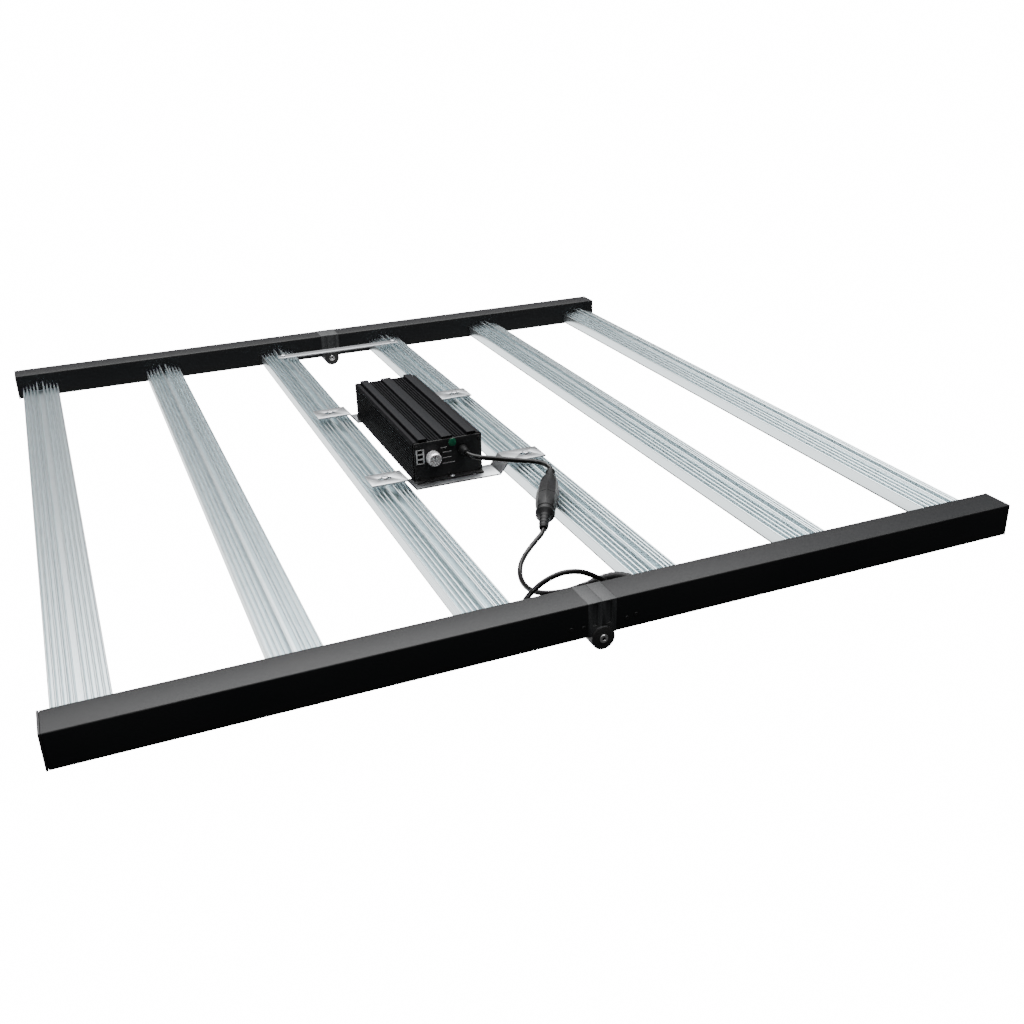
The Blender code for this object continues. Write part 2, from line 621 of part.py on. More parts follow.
def screw_mesh(top, grip, radius, head_radius, head):
    """Pan-head screw standing on z = top, with its shank below."""
    seat = top + GAP
    profile = ((seat - grip, radius * 0.7), (seat - grip + radius * 0.6, radius), (seat, radius),
               (seat, head_radius), (seat + head * 0.55, head_radius),
               (seat + head * 0.85, head_radius * 0.82), (seat + head, head_radius * 0.5))
    body = turned(profile, "Z", (0, 0), SMALL_ROUND)
    socket = rod("Z", (0, 0), head_radius * 0.45, seat + head * 0.4, seat + head + PAST, 6)
    return shaped(body, cut=[socket])


# ---------------------------------------------------------------- driver

def case_outline():
    """Outer section of the driver case: side shoulders, two raised bands, low ribs and a middle strip."""
    half = DRIVER_WIDTH / 2
    top = FOOT + DRIVER_HEIGHT
    floor = top - CASE_GROOVE
    shoulder = half - SHOULDER_WIDTH
    edge = half - SHOULDER_CHAMFER
    right = [(half, FOOT), (half, top - SHOULDER_CHAMFER), (edge, top), (shoulder, top), (shoulder, floor)]
    ridges = [(BAND_OUTER, BAND_INNER, top + BAND_HEIGHT)]
    pitch = (BAND_INNER - STRIP_HALF) / (RIB_COUNT + 1)
    for i in range(RIB_COUNT):
        centre = BAND_INNER - (i + 1) * pitch
        ridges.append((centre + RIB_WIDTH / 2, centre - RIB_WIDTH / 2, top))
    for outer, inner, height in ridges:
        right += [(outer, floor), (outer - RIB_CHAMFER, height)]
        right += [(inner + RIB_CHAMFER, height), (inner, floor)]
    right += [(STRIP_HALF, floor), (STRIP_HALF - RIB_CHAMFER, top + STRIP_HEIGHT)]
    return right + [(-x, z) for x, z in reversed(right)]


def case_mesh():
    """Extruded case, open at both ends."""
    shell = prism(case_outline(), "Y", -CASE_END, CASE_END)
    half = DRIVER_WIDTH / 2 - DRIVER_WALL
    top = FOOT + DRIVER_HEIGHT - CASE_GROOVE - DRIVER_WALL
    hollow = block((-half, -CASE_END - PAST, FOOT + DRIVER_WALL), (half, CASE_END + PAST, top))
    groove = []
    for side in (-1, 1):
        low, high = sorted((side * (DRIVER_WIDTH / 2 + PAST), side * (DRIVER_WIDTH / 2 - SIDE_GROOVE_DEPTH)))
        for rise in SIDE_GROOVES:
            groove.append(block((low, -CASE_END - PAST, FOOT + rise),
                                (high, CASE_END + PAST, FOOT + rise + SIDE_GROOVE_WIDTH)))
    return shaped(shell, cut=[hollow] + groove)


def end_plate_mesh(row, holes):
    """Driver end plate with a foot bent outwards at the bottom."""
    half = DRIVER_WIDTH / 2 - PLATE_INSET
    inner = row * (DRIVER_LENGTH / 2 - END_PLATE)
    outer = row * DRIVER_LENGTH / 2
    low, high = sorted((inner, outer))
    plate = block((-half, low, FOOT), (half, high, FOOT + DRIVER_HEIGHT - PLATE_INSET))
    low, high = sorted((inner, row * FOOT_END))
    foot = block((-half, low, FOOT), (half, high, FOOT + END_PLATE))
    cuts = list(holes)
    for side in (-1, 1):
        centre = side * FOOT_NOTCH_SIDE
        low, high = sorted((row * (FOOT_END - FOOT_NOTCH_DEPTH), row * (FOOT_END + PAST)))
        cuts.append(block((centre - FOOT_NOTCH_WIDTH / 2, low, FOOT - PAST),
                          (centre + FOOT_NOTCH_WIDTH / 2, high, FOOT + END_PLATE + PAST)))
    cuts.append(rod("Z", (FOOT_SCREW_SIDE, row * FOOT_SCREW_Y), FOOT_SCREW_RADIUS + GAP,
                    FOOT - PAST, FOOT + END_PLATE + PAST))
    return shaped(plate, add=[foot], cut=cuts)


def plate_hole(x, z, radius, row):
    """Round hole through an end plate."""
    low, high = sorted((row * (DRIVER_LENGTH / 2 - END_PLATE - PAST), row * (DRIVER_LENGTH / 2 + PAST)))
    return rod("Y", (x, z), radius, low, high)


def plate_window(x, z, width, height, row):
    """Rectangular hole through an end plate."""
    low, high = sorted((row * (DRIVER_LENGTH / 2 - END_PLATE - PAST), row * (DRIVER_LENGTH / 2 + PAST)))
    return block((x - width / 2, low, z - height / 2), (x + width / 2, high, z + height / 2))


def knob_mesh():
    """Fluted knob about the Y axis, front face at negative Y, blind bore at the back."""
    rings = []
    profile = ((-GAP, 0.94, True), (-GAP - KNOB_EDGE, 1.0, True),
               (-KNOB_LENGTH + KNOB_BEVEL, 0.97, True), (-KNOB_LENGTH, 0.8, False))
    for place, size, fluted in profile:
        ring = []
        for i in range(2 * KNOB_FLUTES):
            angle = math.pi * i / KNOB_FLUTES
            radius = KNOB_RADIUS * size - (KNOB_FLUTE_DEPTH if fluted and i % 2 else 0)
            ring.append(Vector((radius * math.cos(angle), place, radius * math.sin(angle))))
        rings.append(ring)
    bore = rod("Y", (0, 0), SHAFT_RADIUS + GAP, -KNOB_LENGTH + KNOB_FACE, PAST)
    return shaped(loft(rings), cut=[bore])


def shaft_mesh():
    """Turning shaft of the dimmer, from inside the potentiometer to inside the knob."""
    return rod("Y", (0, 0), SHAFT_RADIUS, -KNOB_LENGTH + KNOB_FACE + GAP, POT_LENGTH - POT_BACK)


def potentiometer_mesh():
    """Dimmer body behind the end plate with its bush through the plate."""
    back = END_PLATE + GAP
    profile = ((-0.1 * MM, BUSH_RADIUS - 0.4 * MM), (0.5 * MM, BUSH_RADIUS), (back, BUSH_RADIUS),
               (back, POT_RADIUS), (back + POT_LENGTH, POT_RADIUS))
    body = turned(profile, "Y", (0, 0), SMALL_ROUND)
    bore = rod("Y", (0, 0), SHAFT_RADIUS + SHAFT_CLEARANCE, -PAST, POT_LENGTH - POT_BACK + GAP)
    return shaped(body, cut=[bore])


def port_mesh():
    """Block with a column of small sockets, mouths at negative Y."""
    front = -PORT_PROUD
    body = block((-PORT_WIDTH / 2, front, -PORT_HEIGHT / 2),
                 (PORT_WIDTH / 2, front + PORT_DEPTH, PORT_HEIGHT / 2))
    pitch = 0.97 * PORT_HEIGHT / PORT_COUNT
    holes = []
    for i in range(PORT_COUNT):
        z = (i - (PORT_COUNT - 1) / 2) * pitch
        holes.append(block((-PORT_HOLE_WIDTH / 2, front - PAST, z - PORT_HOLE_HEIGHT / 2),
                           (PORT_HOLE_WIDTH / 2, front + PORT_HOLE_DEPTH, z + PORT_HOLE_HEIGHT / 2)))
    return shaped(body, cut=holes)


def lens_mesh():
    """Round status lens: a domed flange outside the end plate and a neck through it."""
    front = -GAP - LENS_PROUD
    profile = ((front, LENS_RADIUS * 0.55), (front + LENS_PROUD / 4, LENS_RADIUS * 0.85),
               (front + LENS_PROUD * 2 / 3, LENS_RADIUS), (-GAP, LENS_RADIUS),
               (-GAP, LENS_NECK_RADIUS), (END_PLATE, LENS_NECK_RADIUS))
    return turned(profile, "Y", (0, 0), SMALL_ROUND)


def gland_mesh():
    """Tapered, ringed strain relief with a neck through the end plate."""
    profile = [(END_PLATE + 2 * MM, GLAND_TIP_RADIUS), (-GAP, GLAND_TIP_RADIUS), (-GAP, GLAND_RADIUS),
               (-4 * MM, GLAND_RADIUS)]
    rings = 3
    start = -4 * MM
    length = GLAND_LENGTH - 4 * MM
    for i in range(rings):
        share = (i + 0.5) / rings
        radius = GLAND_RADIUS - 0.8 * MM + (GLAND_TIP_RADIUS - GLAND_RADIUS + 0.8 * MM) * share
        place = start - length * i / rings
        profile += [(place, radius - 0.8 * MM), (place - 1.4 * MM, radius - 0.8 * MM),
                    (place - 1.4 * MM, radius), (place - length / rings, radius)]
    return turned(profile, "Y", (0, 0), SMALL_ROUND)


def inlet_mesh():
    """Mains inlet: flanged, open-fronted socket body with three blades inside, mouth at positive Y."""
    wide = INLET_WIDTH / 2
    high = INLET_HEIGHT / 2
    flange = block((-wide - INLET_FLANGE, GAP, -high - INLET_FLANGE),
                   (wide + INLET_FLANGE, GAP + INLET_FLANGE_THICKNESS, high + INLET_FLANGE))
    body = block((-wide, -INLET_DEPTH, -high), (wide, GAP + PAST, high))
    mouth = block((-wide + INLET_WALL, -INLET_DEPTH + INLET_WALL, -high + INLET_WALL),
                  (wide - INLET_WALL, 10 * MM, high - INLET_WALL))
    blades = []
    for x, z in ((-7 * MM, -1.5 * MM), (0, 2 * MM), (7 * MM, -1.5 * MM)):
        blades.append(block((x - 1 * MM, -INLET_DEPTH + INLET_WALL - 1 * MM, z - 2 * MM),
                            (x + 1 * MM, -3 * MM, z + 2 * MM)))
    mesh = shaped(body, add=[flange], cut=[mouth])
    return shaped(mesh, add=blades)


def circuit_mesh():
    """Driver circuit board with its transformer, choke and capacitors on top."""
    half = CIRCUIT_WIDTH / 2
    board = block((-half, -CIRCUIT_LENGTH / 2, 0), (half, CIRCUIT_LENGTH / 2, CIRCUIT_THICKNESS))
    sink = CIRCUIT_THICKNESS / 2
    parts = [block((-20 * MM, -10 * MM, sink), (22 * MM, 36 * MM, 34 * MM)),
             block((-34 * MM, 56 * MM, sink), (-6 * MM, 86 * MM, 26 * MM)),
             rod("Z", (20 * MM, 74 * MM), 13 * MM, sink, 32 * MM),
             rod("Z", (-22 * MM, -48 * MM), 11 * MM, sink, 30 * MM),
             rod("Z", (8 * MM, -48 * MM), 11 * MM, sink, 30 * MM)]
    return shaped(board, add=parts)


# ---------------------------------------------------------------- leads and connectors

def smooth_route(points, step):
    """Evenly spaced points on a Catmull-Rom curve through the route's own points."""
    route = [Vector(point) * MM for point in points]
    ends = [route[0] * 2 - route[1]] + route + [route[-1] * 2 - route[-2]]
    fine = []
    parts = 24
    for before, start, stop, after in zip(ends, ends[1:], ends[2:], ends[3:]):
        for i in range(parts):
            t = i / parts
            fine.append(0.5 * (2 * start + (stop - before) * t
                               + (2 * before - 5 * start + 4 * stop - after) * t * t
                               + (3 * start - before - 3 * stop + after) * t * t * t))
    fine.append(route[-1])
    lengths = [0.0]
    for near, far in zip(fine, fine[1:]):
        lengths.append(lengths[-1] + (far - near).length)
    count = max(2, round(lengths[-1] / step))
    even = []
    place = 0
    for i in range(count + 1):
        target = lengths[-1] * i / count
        while place < len(lengths) - 2 and lengths[place + 1] < target:
            place += 1
        share = (target - lengths[place]) / (lengths[place + 1] - lengths[place])
        even.append(fine[place].lerp(fine[place + 1], min(share, 1.0)))
    return even


def add_cord(name, points, diameter, material, parent):
    """Round lead: a curve with a bevel, its ends closed flat."""
    curve = bpy.data.curves.new(name, "CURVE")
    curve.dimensions = "3D"
    curve.bevel_depth = diameter / 2
    curve.bevel_resolution = 2
    curve.use_fill_caps = True
    curve.materials.append(material)
    route = smooth_route(points, 2.2 * diameter)
    stub = 0.4 * diameter
    near = (Vector(points[1]) - Vector(points[0])).normalized() * stub
    far = (Vector(points[-2]) - Vector(points[-1])).normalized() * stub
    route = [route[0], route[0] + near] + route[1:-1] + [route[-1] + far, route[-1]]
    spline = curve.splines.new("POLY")
    spline.points.add(len(route) - 1)
    for spot, place in zip(spline.points, route):
        spot.co = (*(place - parent.location), 1.0)
    cord = bpy.data.objects.new(name, curve)
    bpy.context.scene.collection.objects.link(cord)
    cord.parent = parent
    return cord


def ribbed(start, stop, near, far, rings, depth):
    """Profile of a tapered sleeve with ring grooves, from start to stop."""
    profile = []
    for i in range(rings):
        low = start + (stop - start) * i / rings
        high = start + (stop - start) * (i + 1) / rings
        radius = near + (far - near) * (i + 0.5) / rings
        groove = low + (high - low) * 0.65
        profile += [(low, radius), (groove, radius), (groove, radius - depth), (high, radius - depth)]
    return profile


def connector_meshes():
    """Two halves of the in-line connector along their common axis, from the driver lead's end."""
    reach = (CONNECTOR_END - CONNECTOR_TOP).length
    middle = reach / 2
    radius = CONNECTOR_RADIUS
    socket = ribbed(0, 18 * MM, 6.2 * MM, 7.4 * MM, 3, 0.9 * MM)
    socket += [(18 * MM, 8.2 * MM), (27 * MM, 10.6 * MM), (29 * MM, 10.6 * MM), (31 * MM, 11.6 * MM),
               (45 * MM, radius - 1.2 * MM), (58 * MM, radius), (middle - GAP / 2, radius)]
    plug = [(middle + GAP / 2, radius), (87 * MM, radius - 0.5 * MM), (103 * MM, 11.8 * MM),
            (106 * MM, 10.2 * MM), (108 * MM, 12.4 * MM), (113 * MM, 12.0 * MM), (117 * MM, 7.8 * MM)]
    plug += ribbed(118 * MM, reach, 7.4 * MM, 5.6 * MM, 4, 0.9 * MM)
    direction = (CONNECTOR_END - CONNECTOR_TOP).normalized()
    turn = Vector((0, 1, 0)).rotation_difference(direction).to_matrix().to_4x4()
    meshes = []
    for profile in (socket, plug):
        mesh = turned(profile, "Y", (0, 0), ROUND)
        mesh.transform(turn)
        meshes.append(mesh)
    return meshes


def grommet_mesh():
    """Rubber grommet about the Y axis: neck through the rail's wall, tapered sleeve outside."""
    profile = ((-RAIL_WALL - GROMMET_PAST, GROMMET_NECK_RADIUS), (GAP, GROMMET_NECK_RADIUS),
               (GAP, GROMMET_RADIUS), (2.2 * MM, GROMMET_RADIUS),
               (2.8 * MM, GROMMET_TIP_RADIUS + 1 * MM), (GROMMET_LENGTH, GROMMET_TIP_RADIUS))
    return turned(profile, "Y", (0, 0), SMALL_ROUND)


def boot_mesh():
    """Curved, tapered boot that leads the harness lead into the right rail."""
    hole = Vector((HARNESS_ENTRY, -INNER_FACE, HARNESS_HEIGHT))
    centres = [hole + offset for offset in smooth_route(BOOT_ROUTE, 5 * MM)]
    count = len(centres)
    rings = []
    for i, centre in enumerate(centres):
        ahead = centres[min(i + 1, count - 1)] - centres[max(i - 1, 0)]
        ahead.normalize()
        sideways = ahead.cross(Vector((0, 0, 1))).normalized()
        upwards = sideways.cross(ahead)
        share = i / (count - 1)
        radius = BOOT_TIP_RADIUS + BOOT_SWELL * min(1.0, share * 3.0)
        if i == count - 1:
            radius = GROMMET_NECK_RADIUS - 0.4 * MM
        rings.append([centre + radius * (math.cos(a) * sideways + math.sin(a) * upwards)
                      for a in (2 * math.pi * k / SMALL_ROUND for k in range(SMALL_ROUND))])
    sleeve = loft(rings)
    profile = ((-INNER_FACE - RAIL_WALL - GROMMET_PAST, GROMMET_NECK_RADIUS),
               (-INNER_FACE + GAP, GROMMET_NECK_RADIUS), (-INNER_FACE + GAP, GROMMET_RADIUS),
               (-INNER_FACE + BOOT_FLANGE, GROMMET_RADIUS))
    flange = turned(profile, "Y", (HARNESS_ENTRY, HARNESS_HEIGHT), SMALL_ROUND)
    return shaped(flange, add=[sleeve])


# ---------------------------------------------------------------- assembly

def clear_scene():
    """Remove every object that is in the file."""
    for old in list(bpy.data.objects):
        bpy.data.objects.remove(old)


def add_rails(finish, halves):
    """Four half rails with their end caps."""
    for side, side_name in ((-1, "left"), (1, "right")):
        for row, row_name in ((-1, "front"), (1, "back")):
            place = (0, row * RAIL_CENTRE, 0)
            add_piece(f"rail_{row_name}_{side_name}", rail_mesh(side, row), finish["rail_black"],
                      halves[side], place)
            add_piece(f"end_cap_{row_name}_{side_name}", end_cap_mesh(side), finish["cap_black"],
                      halves[side], place)


def add_bars(finish, halves):
    """Six heat sinks with their LED boards."""
    for number, x in enumerate(BAR_X, start=1):
        side = -1 if x < 0 else 1
        add_piece(f"heat_sink_{number}", bar_mesh(), finish["bar_aluminium"], halves[side], (x, 0, 0))
        add_piece(f"led_board_{number}", board_mesh(), finish["board_white"], halves[side], (x, 0, 0))


def add_hinges(finish, halves):
    """Two fold hinges: four leaves and two pins."""
    for row, row_name in ((-1, "front"), (1, "back")):
        place = Vector((0, row * RAIL_CENTRE, PIVOT.z))
        for side, side_name in ((-1, "left"), (1, "right")):
            add_piece(f"hinge_leaf_{row_name}_{side_name}", leaf_mesh(side, row), finish["hinge_grey"],
                      halves[side], place, smooth=True)
        add_piece(f"hinge_pin_{row_name}", pin_mesh(), finish["screw_steel"], halves[-1], place, smooth=True)


def add_crossing(finish, left):
    """Driver brackets and fold strap with their screws."""
    for row, row_name in ((-1, "front"), (1, "back")):
        add_piece(f"driver_bracket_{row_name}", bracket_mesh(row), finish["sheet_metal"], left,
                  (0, row * BRACKET_Y, 0))
    add_piece("fold_strap", strap_mesh(), finish["sheet_metal"], left, (0, STRAP_Y, 0))
    stations = (("front_bracket", -BRACKET_Y), ("back_bracket", BRACKET_Y), ("strap", STRAP_Y))
    for station, y in stations:
        for side, side_name, grip in ((-1, "left", SCREW_GRIP_LEFT), (1, "right", SCREW_GRIP_RIGHT)):
            mesh = screw_mesh(TAB_TOP, SHEET + GAP + GAP + grip, SCREW_RADIUS, SCREW_HEAD_RADIUS, SCREW_HEAD)
            add_piece(f"{station}_screw_{side_name}", mesh, finish["screw_steel"], left,
                      (side * MIDDLE_BAR, y, 0), smooth=True)


def add_driver(finish, left, knob_axis):
    """Driver box, its end plates and everything that is fitted in them."""
    place = (DRIVER_OFFSET, 0, 0)
    front = -DRIVER_LENGTH / 2
    add_piece("driver_case", case_mesh(), finish["driver_black"], left, place)
    front_holes = [
        plate_hole(KNOB_SIDE, FOOT + KNOB_RISE, BUSH_RADIUS + GAP, -1),
        plate_window(PORT_SIDE, FOOT + PORT_RISE, PORT_WIDTH + 2 * GAP, PORT_HEIGHT + 2 * GAP, -1),
        plate_hole(LENS_SIDE, FOOT + LENS_RISE, LENS_NECK_RADIUS + GAP, -1),
        plate_hole(GLAND_SIDE, FOOT + GLAND_RISE, GLAND_TIP_RADIUS + GAP, -1),
    ]
    rear_holes = [plate_window(0, FOOT + INLET_RISE, INLET_WIDTH + 2 * GAP, INLET_HEIGHT + 2 * GAP, 1)]
    add_piece("driver_end_plate_front", end_plate_mesh(-1, front_holes), finish["plate_black"], left, place)
    add_piece("driver_end_plate_back", end_plate_mesh(1, rear_holes), finish["plate_black"], left, place)
    for row, row_name in ((-1, "front"), (1, "back")):
        mesh = screw_mesh(FOOT + END_PLATE, END_PLATE + SHEET + 3 * GAP, FOOT_SCREW_RADIUS,
                          FOOT_SCREW_HEAD_RADIUS, FOOT_SCREW_HEAD)
        add_piece(f"driver_foot_screw_{row_name}", mesh, finish["screw_steel"], left,
                  (DRIVER_OFFSET + FOOT_SCREW_SIDE, row * FOOT_SCREW_Y, 0), smooth=True)
    add_piece("driver_circuit", circuit_mesh(), finish["circuit_green"], left,
              (DRIVER_OFFSET, 0, FOOT + CIRCUIT_RISE))
    add_piece("dimmer_potentiometer", potentiometer_mesh(), finish["screw_steel"], left,
              KNOB_AXIS, smooth=True)
    add_piece("dimmer_shaft", shaft_mesh(), finish["screw_steel"], knob_axis, KNOB_AXIS, smooth=True)
    add_piece("dimmer_knob", knob_mesh(), finish["knob_silver"], knob_axis, KNOB_AXIS)
    add_piece("control_ports", port_mesh(), finish["port_grey"], left,
              (DRIVER_OFFSET + PORT_SIDE, front, FOOT + PORT_RISE))
    add_piece("status_lens", lens_mesh(), finish["lens_green"], left,
              (DRIVER_OFFSET + LENS_SIDE, front, FOOT + LENS_RISE), smooth=True)
    add_piece("driver_lead_gland", gland_mesh(), finish["cord_black"], left,
              (DRIVER_OFFSET + GLAND_SIDE, front, FOOT + GLAND_RISE), smooth=True)
    add_piece("mains_inlet", inlet_mesh(), finish["cap_black"], left,
              (DRIVER_OFFSET, -front, FOOT + INLET_RISE))


def add_leads(finish, left, right):
    """Driver lead, in-line connector, harness lead, jumper lead and the pieces they end in."""
    black = finish["cord_black"]
    add_cord("driver_lead", DRIVER_LEAD_ROUTE, DRIVER_LEAD_DIAMETER, black, left)
    socket, plug = connector_meshes()
    add_piece("lead_socket", socket, black, left, CONNECTOR_TOP, smooth=True)
    add_piece("lead_plug", plug, black, left, CONNECTOR_TOP, smooth=True)
    add_cord("harness_lead", HARNESS_LEAD_ROUTE, HARNESS_LEAD_DIAMETER, black, left)
    add_piece("harness_boot", boot_mesh(), black, right, smooth=True)
    add_cord("jumper_lead", JUMPER_LEAD_ROUTE, HARNESS_LEAD_DIAMETER, black, left)
    for parent, x, name in ((left, JUMPER_LEFT, "left"), (right, JUMPER_RIGHT, "right")):
        add_piece(f"jumper_grommet_{name}", grommet_mesh(), black, parent,
                  (x, -INNER_FACE, JUMPER_HEIGHT), smooth=True)


def main():
    """Build the whole light."""
    clear_scene()
    finish = make_materials()
    left = add_axis("left_half_frame", (0, 0, 0))
    right = add_axis("fold_axis", PIVOT)
    knob_axis = add_axis("dimmer_axis", KNOB_AXIS)
    halves = {-1: left, 1: right}
    add_rails(finish, halves)
    add_bars(finish, halves)
    add_hinges(finish, halves)
    add_crossing(finish, left)
    add_driver(finish, left, knob_axis)
    add_leads(finish, left, right)


main()
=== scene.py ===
# %% [markdown]
# # Folding LED grow light
# This is a hanging light for a growing room. Two black tube rails carry finned aluminium bars with LED boards
# underneath, each rail is hinged in the middle, and a driver box sits between the two middle bars.
# The solid parts come in as a fixed frame that is never moved. The lesson dresses that frame: it gives every
# part its finish, and it builds the finer shapes that the solids leave out.

import json

import bmesh
import bpy
import numpy as np
from mathutils import Matrix, Vector

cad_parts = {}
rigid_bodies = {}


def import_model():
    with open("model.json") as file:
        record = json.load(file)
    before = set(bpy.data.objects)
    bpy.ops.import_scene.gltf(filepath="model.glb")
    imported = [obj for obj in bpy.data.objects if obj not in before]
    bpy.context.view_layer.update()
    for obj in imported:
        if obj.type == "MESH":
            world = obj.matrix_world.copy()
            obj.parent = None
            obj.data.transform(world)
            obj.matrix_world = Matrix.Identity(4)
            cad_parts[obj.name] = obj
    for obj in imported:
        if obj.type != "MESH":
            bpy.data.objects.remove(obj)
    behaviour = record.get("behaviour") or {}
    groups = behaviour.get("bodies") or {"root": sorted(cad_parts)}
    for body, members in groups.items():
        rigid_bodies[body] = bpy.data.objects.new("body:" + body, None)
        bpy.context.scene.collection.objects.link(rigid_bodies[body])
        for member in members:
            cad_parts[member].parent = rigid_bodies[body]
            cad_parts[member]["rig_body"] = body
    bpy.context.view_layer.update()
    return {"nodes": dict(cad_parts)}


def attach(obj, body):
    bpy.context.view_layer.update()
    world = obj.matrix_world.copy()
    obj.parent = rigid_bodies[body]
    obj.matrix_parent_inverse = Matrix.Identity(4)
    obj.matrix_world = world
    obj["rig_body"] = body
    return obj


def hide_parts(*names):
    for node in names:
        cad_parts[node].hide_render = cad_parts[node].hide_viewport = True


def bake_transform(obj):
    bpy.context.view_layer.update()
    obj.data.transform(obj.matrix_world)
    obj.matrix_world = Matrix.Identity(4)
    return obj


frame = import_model()
NODES = frame["nodes"]
MM = 0.001
LEFT, RIGHT, DIMMER = "left_half", "right_half", "dimmer"

# %% [markdown]
# ## The camera
# The light is seen from above its front left side, as a person sees it on a table. A camera is aimed most
# safely by its own axes: one unit vector along the view, one to the right and one upwards, put into its matrix.

# %% Camera
CAMERA_PLACE = (-0.4701, -1.4876, 0.5754)
CAMERA_YAW, CAMERA_PITCH, CAMERA_ROLL = np.radians([22.25, 24.82, -1.54])
LENS_MM, SENSOR_MM = 39.54, 36.0


def camera_axes(yaw, pitch, roll):
    """The view axis is turned yaw from +Y to +X and tipped down by pitch; roll turns the other two about it."""
    view = np.array([np.sin(yaw) * np.cos(pitch), np.cos(yaw) * np.cos(pitch), -np.sin(pitch)])
    level = np.array([np.cos(yaw), -np.sin(yaw), 0.0])
    upward = np.cross(level, view)
    right = np.cos(roll) * level + np.sin(roll) * upward
    return right, np.cross(right, view), view


right, up, view = camera_axes(CAMERA_YAW, CAMERA_PITCH, CAMERA_ROLL)
camera = bpy.data.objects.new("camera", bpy.data.cameras.new("camera"))
bpy.context.scene.collection.objects.link(camera)
turned = Matrix(np.stack([right, up, -view], 1).tolist()).to_4x4()
camera.matrix_world = Matrix.Translation(CAMERA_PLACE) @ turned
camera.data.lens = LENS_MM
camera.data.sensor_width = SENSOR_MM
bpy.context.scene.camera = camera
print("camera looks along", np.round(view, 3))

# %% [markdown]
# ## Shells: grids of points that become meshes
# Nearly every piece here is a skin over a list of rings: a bar is one outline at both its ends, a screw is a
# stack of circles, a lead is a circle carried along a line. So one helper turns an array of rings into faces,
# and the shape itself stays a formula. A shell is a pair: its points, and its faces as lists of point numbers.
# Sizes are written in millimetres, as on a workshop drawing, and skin() turns them into Blender's metres.

# %% Rings to shells
def skin(rings, capped=True):
    """Faces between each ring and the next, where point i joins points i and i + 1 of its neighbour, and two caps."""
    rings = np.asarray(rings, float)
    rows, columns = rings.shape[:2]
    row, column = np.meshgrid(np.arange(rows - 1), np.arange(columns), indexing="ij")
    following = (column + 1) % columns
    quads = np.stack([row * columns + column, row * columns + following,
                      (row + 1) * columns + following, (row + 1) * columns + column], -1).reshape(-1, 4).tolist()
    if capped:
        quads += [list(range(columns))[::-1], list(range((rows - 1) * columns, rows * columns))]
    return rings.reshape(-1, 3) * MM, quads


def on_axis(axis, u, v, w):
    """Points with w along the named axis and u, v on the other two, in X, Y, Z order."""
    u, v, w = np.broadcast_arrays(u, v, w)
    order = {"X": (w, u, v), "Y": (u, w, v), "Z": (u, v, w)}[axis]
    return np.stack(order, -1)


def extruded(outline, axis, low, high):
    """The outline's (u, v) points, once at each end of a straight run along the axis."""
    outline = np.asarray(outline, float)
    return skin(on_axis(axis, outline[None, :, 0], outline[None, :, 1], np.array([[low], [high]])))


def lathe(profile, axis, centre, sides=32, shape=np.ones_like):
    """Each (place, radius, amount) of the profile is a ring with u = r cos(angle) and v = r sin(angle) from the
    centre, where r = radius (1 + amount (shape(angle) - 1)). Where the amount is left out it is 0: a plain circle."""
    place, radius, amount = np.array([(*row, 0)[:3] for row in profile], float).T[:, :, None]
    angle = np.linspace(0, 2 * np.pi, sides, endpoint=False)
    radius = radius * (1 + amount * (shape(angle) - 1))
    return skin(on_axis(axis, centre[0] + radius * np.cos(angle), centre[1] + radius * np.sin(angle), place))


def hexagon(angle):
    """Radius of a six-sided hole: the cosine of 30 degrees over the cosine of the angle from the nearest flat."""
    return np.cos(np.pi / 6) / np.cos((angle + np.pi / 6) % (np.pi / 3) - np.pi / 6)


def rounded(corners, radius, steps=4):
    """Swaps each corner for an arc that touches both its sides: its centre is on the corner's bisector,
    radius / sin(half the corner's angle) away, and it starts radius / tan(half the angle) along each side."""
    corner = np.asarray(corners, float)
    radius = np.broadcast_to(radius, len(corner)).astype(float)[:, None]
    back = np.roll(corner, 1, 0) - corner
    ahead = np.roll(corner, -1, 0) - corner
    back /= np.linalg.norm(back, axis=1, keepdims=True)
    ahead /= np.linalg.norm(ahead, axis=1, keepdims=True)
    half = 0.5 * np.arccos(np.clip((back * ahead).sum(1, keepdims=True), -1, 1))
    middle = back + ahead
    centre = corner + middle / np.linalg.norm(middle, axis=1, keepdims=True) * radius / np.sin(half)
    first = corner + back * radius / np.tan(half) - centre
    last = corner + ahead * radius / np.tan(half) - centre
    begin = np.arctan2(first[:, 1], first[:, 0])[:, None]
    turn = np.arctan2(last[:, 1], last[:, 0])[:, None] - begin
    turn = (turn + np.pi) % (2 * np.pi) - np.pi
    angle = begin + turn * np.linspace(0, 1, steps + 1)
    return (centre[:, None] + radius[:, None] * np.stack([np.cos(angle), np.sin(angle)], -1)).reshape(-1, 2)


def block(low, high, edge=0.3):
    """Box from corner low to corner high, a rounded rectangle in plan."""
    outline = rounded([(low[0], low[1]), (high[0], low[1]), (high[0], high[1]), (low[0], high[1])], edge, 3)
    return extruded(outline, "Z", low[2], high[2])


# %% [markdown]
# A finished piece sits at the origin with its place in its mesh, and it rides on one body of the frame.
# Faces are turned outwards here once for all, and only edges sharper than a set angle stay sharp.

# %% Shells to pieces
CORNER = 30      # degrees between two faces that make an edge worth rounding
LONG_EDGE = 2.5  # an edge is rounded only where it is this many times longer than the rounding is wide


def merged(shells):
    """One list of points and one of faces, each shell's point numbers moved up by the points before it."""
    counts = np.cumsum([0] + [len(points) for points, _ in shells])
    points = np.concatenate([points for points, _ in shells])
    faces = [[corner + start for corner in face] for start, (_, faces) in zip(counts, shells) for face in faces]
    return points, faces


